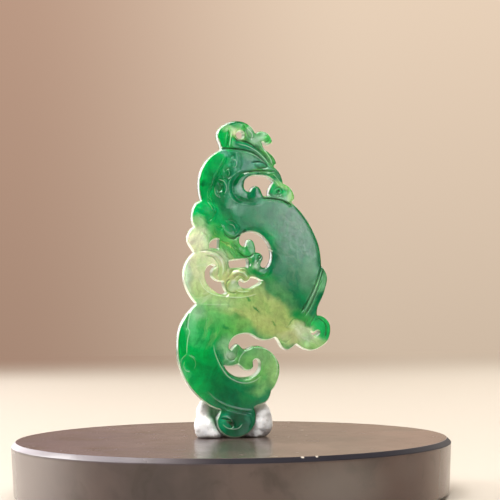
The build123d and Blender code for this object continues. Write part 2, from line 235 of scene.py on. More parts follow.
    "hookFacet": ("cut", 0.36, 0.14, [(31.0, 28.4), (31.4, 26.2), (33.8, 24.6), (36.6, 24.8), (38.4, 26.6),
                                      (39.6, 29.2)]),
    "footLine": ("bead", 0.28, 0.03, [(19.0, 15.1), (24.9, 12.2), (31.4, 10.4), (38.0, 9.4), (44.0, 8.8),
                                      (48.8, 8.8)]),
    "footLineCut": ("cut", 0.34, 0.08, [(25.6, 11.2), (31.6, 9.5), (38.4, 8.5), (44.6, 7.9), (48.6, 7.9)]),
    "footCurl": ("cut", 0.44, 0.22, [(28.0, 6.2), (31.2, 6.0), (34.2, 5.6), (36.0, 4.4), (34.4, 3.4)]),
    "footCurlBead": ("bead", 0.30, 0.05, [(28.3, 7.0), (31.0, 6.9), (33.7, 6.2), (35.2, 5.2)]),
    "footCurlLow": ("bead", 0.30, 0.08, [(28.8, 4.4), (31.7, 3.3), (35.4, 2.9), (39.0, 3.2), (41.4, 4.4)]),
    "footRim": ("cut", 0.30, 0.06, [(44.4, 7.9), (47.0, 6.6), (48.0, 4.9), (46.4, 2.9)]),
}

# round pits and raised spots: kind, radius in mm, depth in mm, and the place
carvedSpots = {
    "eye": ("dome", 0.34, 0.14, (54.4, 85.9)),
    "hookPit": ("pit", 0.26, 0.22, (59.3, 94.1)),
    "chinPit": ("pit", 0.20, 0.60, (66.7, 77.6)),
    "footPit": ("pit", 0.36, 0.30, (34.8, 4.5)),
    "jawPit": ("pit", 0.42, 0.06, (48.4, 76.6)),
    "crestDome": ("dome", 1.10, 0.02, (31.0, 94.4)),
    "crestSideDome": ("dome", 0.55, 0.06, (48.8, 96.6)),
    "upperCurlDome": ("dome", 1.50, 0.03, (16.6, 72.2)),
    "lowerCurlDome": ("dome", 1.50, 0.05, (13.6, 62.6)),
    "smallDome": ("dome", 0.60, 0.06, (35.8, 48.2)),
    "lobeDome": ("dome", 0.60, 0.05, (51.0, 53.7)),
    "hookDome": ("dome", 0.50, 0.08, (48.0, 60.6)),
    "clawHollow": ("pit", 1.30, 0.16, (84.4, 31.4)),
}

# closely worked stretches that break up the shine: place, half sizes and height in mm
ripples = {
    "ticks": ((36.0, 59.0), (4.0, 1.8), 0.020),
    "chin": ((67.0, 78.6), (2.4, 2.0), 0.020),
}


def smoothRun(points, step):  # an even run through the points, on a Catmull-Rom curve
    places = np.array([at(*p) for p in points])
    ends = np.vstack([2 * places[0] - places[1], places, 2 * places[-1] - places[-2]])
    fine = []
    for a, b, c, d in zip(ends, ends[1:], ends[2:], ends[3:]):
        for t in np.linspace(0, 1, pendantSizes["curveSteps"], endpoint=False):
            fine.append(0.5 * (2 * b + (c - a) * t + (2 * a - 5 * b + 4 * c - d) * t ** 2
                               + (3 * b - a - 3 * c + d) * t ** 3))
    fine.append(places[-1])
    return evenRun(np.array(fine), step)


def evenRun(run, step):
    lengths = np.concatenate([[0], np.cumsum(np.linalg.norm(np.diff(run, axis=0), axis=1))])
    count = max(2, round(lengths[-1] / step))
    marks = np.linspace(0, lengths[-1], count + 1)
    return np.column_stack([np.interp(marks, lengths, run[:, k]) for k in (0, 1)])


def sectionLoops(node):  # the outline and the openings, cut through the middle of the plate
    cut = bmesh.new()
    cut.from_mesh(node.data)
    bmesh.ops.remove_doubles(cut, verts=cut.verts, dist=1e-7)
    whole = cut.verts[:] + cut.edges[:] + cut.faces[:]
    made = bmesh.ops.bisect_plane(cut, geom=whole, dist=1e-8, plane_co=(0, 0, 0), plane_no=(0, 1, 0))
    beside = {}
    for edge in made["geom_cut"]:
        if isinstance(edge, bmesh.types.BMEdge):
            a, b = edge.verts
            beside.setdefault(a, []).append(b)
            beside.setdefault(b, []).append(a)
    loops, seen = [], set()
    for start in beside:
        loop, here = [], start
        while here and here not in seen:
            seen.add(here)
            loop.append((here.co.x / mm, here.co.z / mm))
            here = next((v for v in beside[here] if v not in seen), None)
        if len(loop) > 5:
            loops.append(np.array(loop))
    cut.free()
    loops.sort(key=lambda loop: -abs(loopArea(loop)))
    for k, loop in enumerate(loops):  # the jade lies on the left of every loop
        if loopArea(loop) * (1 if k == 0 else -1) <= 0:
            loops[k] = loop[::-1]
    return loops


def loopArea(loop):
    x, z = loop[:, 0], loop[:, 1]
    return 0.5 * float(np.sum(x * np.roll(z, -1) - np.roll(x, -1) * z))


def evenLoop(loop, step):  # evenly spaced between the corners, which stay where they are
    ahead = np.roll(loop, -1, axis=0) - loop
    behind = loop - np.roll(loop, 1, axis=0)
    turn = np.degrees(np.arctan2(behind[:, 0] * ahead[:, 1] - behind[:, 1] * ahead[:, 0],
                                 np.sum(ahead * behind, axis=1)))
    corners = np.flatnonzero(np.abs(turn) > pendantSizes["cornerTurn"])
    if len(corners) == 0:
        corners = np.array([0])
    points, sharp = [], []
    for k, start in enumerate(corners):
        end = corners[(k + 1) % len(corners)]
        size = (end - start - 1) % len(loop) + 1
        run = evenRun(loop[(start + np.arange(size + 1)) % len(loop)], step)
        points.extend(run[:-1])
        sharp.extend([len(corners) > 1] + [False] * (len(run) - 2))
    points, sharp = np.array(points), np.array(sharp)
    for _ in range(pendantSizes["edgeSmoothing"]):
        middle = (np.roll(points, 1, axis=0) + np.roll(points, -1, axis=0)) / 2
        points = np.where(sharp[:, None], points, points * 0.5 + middle * 0.5)
    return points


def sideways(along):  # to the left of each direction
    along = along / np.linalg.norm(along, axis=1)[:, None]
    return np.column_stack([-along[:, 1], along[:, 0]])


def inwards(loop):  # the direction into the jade at each point
    return sideways(np.roll(loop, -1, axis=0) - np.roll(loop, 1, axis=0))


def edgeTree(loops):  # finds the distance to the nearest edge
    corners, faces = [], []
    for loop in loops:
        first, count = len(corners), len(loop)
        corners += [(x, y, z) for x, z in loop for y in (-50, 50)]
        for k in range(count):
            a, b = first + 2 * k, first + 2 * ((k + 1) % count)
            faces.append((a, a + 1, b + 1, b))
    return BVHTree.FromPolygons(corners, faces)


def edgeDistance(tree, points):
    return np.array([tree.find_nearest((x, 0, z))[3] for x, z in points])


def lineDistance(points, run):  # distance to a run, and the share of its length at the nearest place
    a, b = run[:-1], run[1:]
    ab = b - a
    size = np.sum(ab * ab, axis=1)
    ap = points[:, None, :] - a[None]
    t = np.clip(np.sum(ap * ab[None], axis=2) / size, 0, 1)
    away = np.linalg.norm(ap - t[..., None] * ab[None], axis=2)
    k = np.argmin(away, axis=1)
    rows = np.arange(len(points))
    return away[rows, k], (k + t[rows, k]) / len(a)


def insideLoops(points, loops):
    batch = 2000
    inside = np.zeros(len(points), bool)
    for loop in loops:
        x1, z1 = loop[:, 0], loop[:, 1]
        x2, z2 = np.roll(x1, -1), np.roll(z1, -1)
        for first in range(0, len(points), batch):
            x, z = points[first:first + batch, 0:1], points[first:first + batch, 1:2]
            spans = (z1 > z) != (z2 > z)
            with np.errstate(divide="ignore", invalid="ignore"):
                crossing = (x2 - x1) * (z - z1) / (z2 - z1) + x1
            inside[first:first + batch] ^= (np.sum(spans & (x < crossing), axis=1) % 2).astype(bool)
    return inside


def faceDrop(points, toEdge, runs):  # how far each point of a face lies below the plate's plane
    s = pendantSizes
    rim = np.clip(s["rimRadius"] - toEdge, 0, None)
    drop = s["rimRadius"] - np.sqrt(np.clip(s["rimRadius"] ** 2 - rim ** 2, 0, None))
    drop += s["faceSink"] + s["crown"] * np.exp(-toEdge / s["crownReach"])
    cuts, beads = np.zeros(len(points)), np.zeros(len(points))
    for (kind, width, depth, _), run in zip(carvedLines.values(), runs):
        near = np.flatnonzero(np.all((points > run.min(0) - width) & (points < run.max(0) + width), axis=1))
        if len(near) == 0:
            continue
        away, share = lineDistance(points[near], run)
        ends = np.clip(np.minimum(share, 1 - share) / s["lineFade"], 0, 1)
        ends = s["lineEnd"] + (1 - s["lineEnd"]) * ends * (2 - ends)
        shape = np.clip(1 - (away / (width * 0.5 * ends)) ** 2, 0, 1) * ends
        worked = cuts if kind == "cut" else beads
        worked[near] = np.maximum(worked[near], depth * shape)
    for kind, radius, depth, place in carvedSpots.values():
        hump = depth * np.exp(-(np.linalg.norm(points - at(*place), axis=1) / radius) ** 2)
        if kind == "pit":
            cuts = np.maximum(cuts, hump)
        else:
            drop -= hump
    (far, whole), (many, strong) = s["rippleFade"], s["rippleWaves"]
    for place, half, height in ripples.values():
        away = np.linalg.norm((points - at(*place)) / half, axis=1)
        near = np.flatnonzero(away < far)
        wave = np.array([noise.noise(Vector((x * many, 7.0, z * many))) for x, z in points[near]])
        drop[near] += height * (1 + strong * wave) * np.clip((far - away[near]) / (far - whole), 0, 1)
    drop = drop + cuts - np.clip(beads, 0, 0.8 * np.clip(drop, 0.02, None) + s["beadRise"])
    return np.clip(drop, 0, s["deepest"]), cuts, beads


def facePoints(loops, tree, runs):  # the edge loops, then rows beside them and the lines, then an even fill
    s = pendantSizes
    kept = [np.vstack(loops)]
    gaps = [np.zeros(len(kept[0]))]
    for offset, gap in s["rimRows"].items():
        rows = np.vstack([loop + inwards(loop) * offset for loop in loops])
        rows = rows[(edgeDistance(tree, rows) > offset * 0.93) & insideLoops(rows, loops)]
        kept.append(rows)
        gaps.append(np.full(len(rows), gap))
    lineRows = []
    for (_, width, _, _), run in zip(carvedLines.values(), runs):
        aside = sideways(np.gradient(run, axis=0))
        lineRows += [run + aside * width * share for share in s["lineRows"]]
    step = s["fillStep"]
    low, high = loops[0].min(0), loops[0].max(0)
    fill = []
    for k, z in enumerate(np.arange(low[1], high[1], step * math.sqrt(3) / 2)):
        across = np.arange(low[0] + (k % 2) * step / 2, high[0], step)
        fill.append(np.column_stack([across, np.full(len(across), z)]))
    fillRoom, fillGap = s["fillRoom"]
    for extra, room, gap in ((lineRows, *s["lineRoom"]), (fill, fillRoom, step * fillGap)):
        extra = np.vstack(extra)
        extra = extra[insideLoops(extra, loops)]
        extra = extra[edgeDistance(tree, extra) > room]
        kept.append(extra)
        gaps.append(np.full(len(extra), gap))
    return thinned(np.vstack(kept), np.concatenate(gaps), len(kept[0]))


def thinned(points, gaps, fixed):  # drops a point that lies too near to an earlier one
    cell = 0.1
    grid, out = {}, []
    for k, (x, z) in enumerate(points):
        i, j = math.floor(x / cell), math.floor(z / cell)
        gap = gaps[k]
        reach = math.ceil(gap / cell)
        near = (n for a in range(i - reach, i + reach + 1) for b in range(j - reach, j + reach + 1)
                for n in grid.get((a, b), ()))
        if k < fixed or all((points[n][0] - x) ** 2 + (points[n][1] - z) ** 2 >= gap * gap for n in near):
            grid.setdefault((i, j), []).append(k)
            out.append(k)
    return points[out]


def laidFlat(points, loops):  # triangles between the points, and which points each loop runs through
    starts = list(accumulate((len(loop) for loop in loops), initial=0))
    spans = list(zip(starts, starts[1:]))
    edges = [(k, k + 1 if k + 1 < end else start) for start, end in spans for k in range(start, end)]
    flat, _, faces, sources, _, _ = delaunay_2d_cdt([Vector(p) for p in points], edges, [], 0, 1e-7, True)
    flat, faces = np.array([tuple(p) for p in flat]), np.array(faces)
    faces = faces[insideLoops(flat[faces].mean(axis=1), loops)].tolist()
    place = {source: k for k, ids in enumerate(sources) for source in ids}
    return flat, faces, [[place[k] for k in range(start, end)] for start, end in spans]


def plateMesh(loops, outer, flat, faces, rings, worked):  # both faces, and walls between them
    drop, cuts, beads, toEdge = worked
    half = (jadeHigh.y - jadeLow.y) / mm / 2 - drop
    used = sorted({v for face in faces for v in face})
    verts, notes, sides = [], [], []
    for side in (-1, 1):
        sides.append({k: len(verts) + n for n, k in enumerate(used)})
        verts += [(flat[k, 0], side * half[k], flat[k, 1]) for k in used]
        notes += [(cuts[k], beads[k], toEdge[k], 0.0) for k in used]
    front, back = sides
    polys = [tuple(front[k] for k in face) for face in faces]
    polys += [tuple(back[k] for k in reversed(face)) for face in faces]
    for number, (loop, wide, ring) in enumerate(zip(loops, outer, rings)):
        rows = [[front[k] for k in ring]]
        for level in pendantSizes["wallLevels"]:
            rows.append(range(len(verts), len(verts) + len(ring)))
            for near, far, k in zip(loop, wide, ring):
                x, z = near + (far - near) * (1 - level ** 2)
                verts.append((x, half[k] * level, z))
                notes.append((0.0, 0.0, 0.0, float(number >= pendantSizes["polished"])))
        rows.append([back[k] for k in ring])
        for low, high in zip(rows, rows[1:]):
            for k in range(len(ring)):
                n = (k + 1) % len(ring)
                polys.append((low[k], high[k], high[n], low[n]))
    mesh = bpy.data.meshes.new("jadePendant")
    mesh.from_pydata([tuple(c * mm for c in v) for v in verts], [], polys)
    for name, values in zip(("cutDepth", "beadHeight", "edgeDistance", "sawn"), zip(*notes)):
        note = mesh.attributes.new(name, "FLOAT", "POINT")
        note.data.foreach_set("value", np.array(values, np.float32))
    return mesh


def closedMesh(work, mesh, label):  # gives the mesh outward normals and smooth shading
    bmesh.ops.recalc_face_normals(work, faces=work.faces)
    openEdges = sum(1 for e in work.edges if len(e.link_faces) != 2)
    print(label, "volume", round(work.calc_volume(signed=True) / mm ** 3), "mm3, open edges", openEdges)
    work.to_mesh(mesh)
    work.free()
    mesh.polygons.foreach_set("use_smooth", [True] * len(mesh.polygons))
    mesh.update()


def carvePendant(jade):
    s = pendantSizes
    outer = [evenLoop(loop, s["edgeStep"]) for loop in sectionLoops(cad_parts["pendant"])]
    print("outline read:", len(outer), "loops,", sum(len(loop) for loop in outer), "points")
    loops = [loop + inwards(loop) * s["wallBow"] for loop in outer]
    tree = edgeTree(loops)
    runs = [smoothRun(points, s["lineStep"]) for _, _, _, points in carvedLines.values()]
    flat, faces, rings = laidFlat(facePoints(loops, tree, runs), loops)
    print("faces laid out:", len(flat), "points,", len(faces), "triangles")
    toEdge = edgeDistance(tree, flat)
    toEdge[np.concatenate(rings)] = 0
    mesh = plateMesh(loops, outer, flat, faces, rings, (*faceDrop(flat, toEdge, runs), toEdge))
    work = bmesh.new()
    work.from_mesh(mesh)
    closedMesh(work, mesh, "pendant")
    mesh.materials.append(jade)
    piece = newObject("jadePendant", mesh)
    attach(piece, "root")
    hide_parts("pendant")
    print("pendant carved:", sum(len(p.vertices) - 2 for p in mesh.polygons), "triangles")
    return piece


# materials
def newMaterial(name):
    material = bpy.data.materials.new(name)
    material.use_nodes = True
    tree = material.node_tree
    return material, tree, tree.nodes["Principled BSDF"]


def tone(colour):  # an 8-bit screen colour as Blender's linear one
    linear = [c / 255 / 12.92 if c < 10.3 else ((c / 255 + 0.055) / 1.055) ** 2.4 for c in colour]
    return (*linear, 1)


def setSockets(tree, node, sockets):  # links each of these sockets, or sets it to a value
    for name, value in sockets.items():
        if isinstance(value, bpy.types.NodeSocket):
            tree.links.new(value, node.inputs[name])
        else:
            node.inputs[name].default_value = value
    return node.outputs


def addNode(tree, kind, settings=None, sockets=None):
    node = tree.nodes.new(kind)
    for name, value in (settings or {}).items():
        setattr(node, name, value)
    return setSockets(tree, node, sockets or {})


def maths(tree, work, a, b=0.0, c=0.0):
    return addNode(tree, "ShaderNodeMath", {"operation": work}, {0: a, 1: b, 2: c})[0]


def times(tree, a, b):
    return maths(tree, "MULTIPLY", a, b)


def vectorMaths(tree, work, a, b=(0, 0, 0)):
    outputs = addNode(tree, "ShaderNodeVectorMath", {"operation": work}, {0: a, 1: b})
    return outputs["Value" if work == "LENGTH" else "Vector"]


def scaled(tree, vector, share):
    return addNode(tree, "ShaderNodeVectorMath", {"operation": "SCALE"}, {0: vector, "Scale": share})[0]


def mixed(tree, share, under, over, blend="MIX"):  # both are sockets or 8-bit colours
    under, over = (v if isinstance(v, bpy.types.NodeSocket) else tone(v) for v in (under, over))
    settings = {"data_type": "RGBA", "blend_type": blend}
    return addNode(tree, "ShaderNodeMix", settings, {0: share, 6: under, 7: over})[2]


def noiseAt(tree, coords, scale, detail, roughness, output=0):  # output 1 is its colour
    sockets = {"Vector": coords, "Scale": scale, "Detail": detail, "Roughness": roughness}
    return addNode(tree, "ShaderNodeTexNoise", {}, sockets)[output]


def ranged(tree, value, low, high, newLow=0.0, newHigh=1.0):
    sockets = {"Value": value, "From Min": low, "From Max": high, "To Min": newLow, "To Max": newHigh}
    return addNode(tree, "ShaderNodeMapRange", {"interpolation_type": "SMOOTHSTEP"}, sockets)[0]


def rotated(tree, vector, angle):  # in the plate's plane
    sockets = {"Vector": vector, "Angle": angle}
    return addNode(tree, "ShaderNodeVectorRotate", {"rotation_type": "Y_AXIS"}, sockets)[0]


def bumped(tree, height, strength, distance):
    sockets = {"Height": height, "Strength": strength, "Distance": distance}
    return addNode(tree, "ShaderNodeBump", {}, sockets)[0]


def objectCoords(tree):
    return addNode(tree, "ShaderNodeTexCoord")["Object"]


def axes(tree, vector):
    return addNode(tree, "ShaderNodeSeparateXYZ", {}, {"Vector": vector})


def noted(tree, name):  # a value that the mesh carries
    return addNode(tree, "ShaderNodeAttribute", {"attribute_name": name})["Fac"]


def softPatchGroup():  # a soft oval spot: 1 inside, 0 outside
    group = bpy.data.node_groups.new("softPatch", "ShaderNodeTree")
    for name, kind in (("Coords", "Vector"), ("Centre", "Vector"), ("Half Size", "Vector"),
                       ("Turn", "Float"), ("Softness", "Float"), ("Strength", "Float")):
        group.interface.new_socket(name, in_out="INPUT", socket_type="NodeSocket" + kind)
    group.interface.new_socket("Mask", in_out="OUTPUT", socket_type="NodeSocketFloat")
    entry = group.nodes.new("NodeGroupInput").outputs
    away = vectorMaths(group, "SUBTRACT", entry["Coords"], entry["Centre"])
    share = vectorMaths(group, "DIVIDE", rotated(group, away, entry["Turn"]), entry["Half Size"])
    outer = maths(group, "ADD", 1.0, entry["Softness"])
    inner = maths(group, "SUBTRACT", 1.0, entry["Softness"])
    mask = ranged(group, vectorMaths(group, "LENGTH", share), outer, inner)
    setSockets(group, group.nodes.new("NodeGroupOutput"), {"Mask": times(group, mask, entry["Strength"])})
    return group


def softPatch(tree, group, coords, centre, halfSize, turn, softness, strength):
    sockets = {"Coords": coords, "Centre": centre, "Half Size": halfSize, "Turn": math.radians(turn),
               "Softness": softness, "Strength": strength}
    return addNode(tree, "ShaderNodeGroup", {"node_tree": group}, sockets)["Mask"]


jadeLook = {
    "base": (30, 122, 76),
    "throughShare": 0.35,          # the colours run through the plate, this much of them changing on the way
    "drifts": ((170, 2.0, 0.5, 4.0), (700, 3.0, 0.6, 1.3)),  # noise, and the mm by which it bends the patches
    "cloudNoise": (480, 6.0, 0.68),  # scale, detail, roughness
    "fibreNoise": (900, 4.0, 0.6),
    "cloudRange": (0.34, 0.66),
    "cloudMix": (0.6, 0.4),        # shares of clouds and fibres
    "fibreStretch": 0.32,          # fibres lie upright: this much as many along the height
    "streakStretch": 0.28,         # the same along a streak
    "streakNoise": (500, 3.0, 0.6),
    "streakRange": (0.50, 0.68),
    "streakSoftness": 0.5,
    "grainNoise": (1500, 3.0, 0.6),
    "sandNoise": (3200, 2.0, 0.7),
    "cloudiness": 0.26,
    "redHeld": 0.014,              # keeps the green free of red where pale patches run out
    # painted shade in the carved cuts
    "grooveShadeTint": (120, 190, 150),
    "grooveShadeShare": 0.75,
    "grooveShadeDepths": (0.02, 0.26),  # mm, from the first of the painted shade to the full one
    # painted highlight on the raised lines
    "beadHighlight": (214, 232, 216),
    "beadHighlightShare": 0.7,
    "beadHeight": 0.08,            # mm, of a bead whose painted highlight is as pale as it gets
    "polish": 0.075,               # roughness
    "polishSpread": (-0.02, 0.06),
    "dullDepths": (0.03, 0.25),    # mm, from where a cut is duller to where it is dullest
    "shine": (0.30, 0.70),         # its least and most, grain by grain
    "grainRange": (0.3, 0.7),
    "grainBump": (0.06, 0.05),     # strength, and mm
    "refraction": 1.54,
    "sawnRough": 0.40,             # the sawn walls of the small openings are duller
    "cutRough": 0.30,              # and so are the carved lines
    "glow": 0.8,                   # share of light that goes into the stone
    "glowReach": (0.3, 0.6, 0.3),  # mm for red, green and blue
    "facesLeft": (-0.35, -0.85),   # a face's direction, from where it begins to count to where it does wholly
    "facesSideways": (-0.12, -0.42),
    "facesUp": (0.08, 0.36),
    "facesDown": (-0.08, -0.50),
    "redOfShade": (0.5, 0.1),       # the red in a colour, from none of the effect to all of it
    "redOfGreen": (0.25, 0.03),
    "redOfPale": (0.03, 0.25),
    "redOfGlow": (0.02, 0.3),
    "greenGlow": 0.25,             # what green stone lets through, as a share of what pale stone does
    "rimPaintedLight": (236, 238, 214),   # painted light on thin edges that face left or down
    "rimLeftLight": 0.04,               # share of it on edges that face left
    "rimDownLight": 0.7,                # and on edges that face down
    "rimShade": (90, 200, 130),     # painted shade on edges that face right or up: what they are darkened by
    "rimWidth": 0.32,              # mm
    "wallLitGrey": (106, 126, 114),   # painted light on the walls that face left
    "wallLitShare": 0.8,
    "wallLitPale": (140, 154, 120),   # the same painted light on these walls where the stone is pale
    "wallLitPaleShare": 0.75,
    "rimTopHighlight": (212, 224, 214),     # painted highlight on thin edges that face up and left
    "rimTopHighlightShare": 0.6,
    "rimTopWidth": 0.30,
    "footShadow": (3.0, 5.6),        # mm above the stand, where a painted shadow of the putty takes the painted light and glow off the lower edges
    "footShadowLeast": 0.35,
    "rimGlow": 0.62,               # painted glow: light from behind, given as emission from the lower edges
}
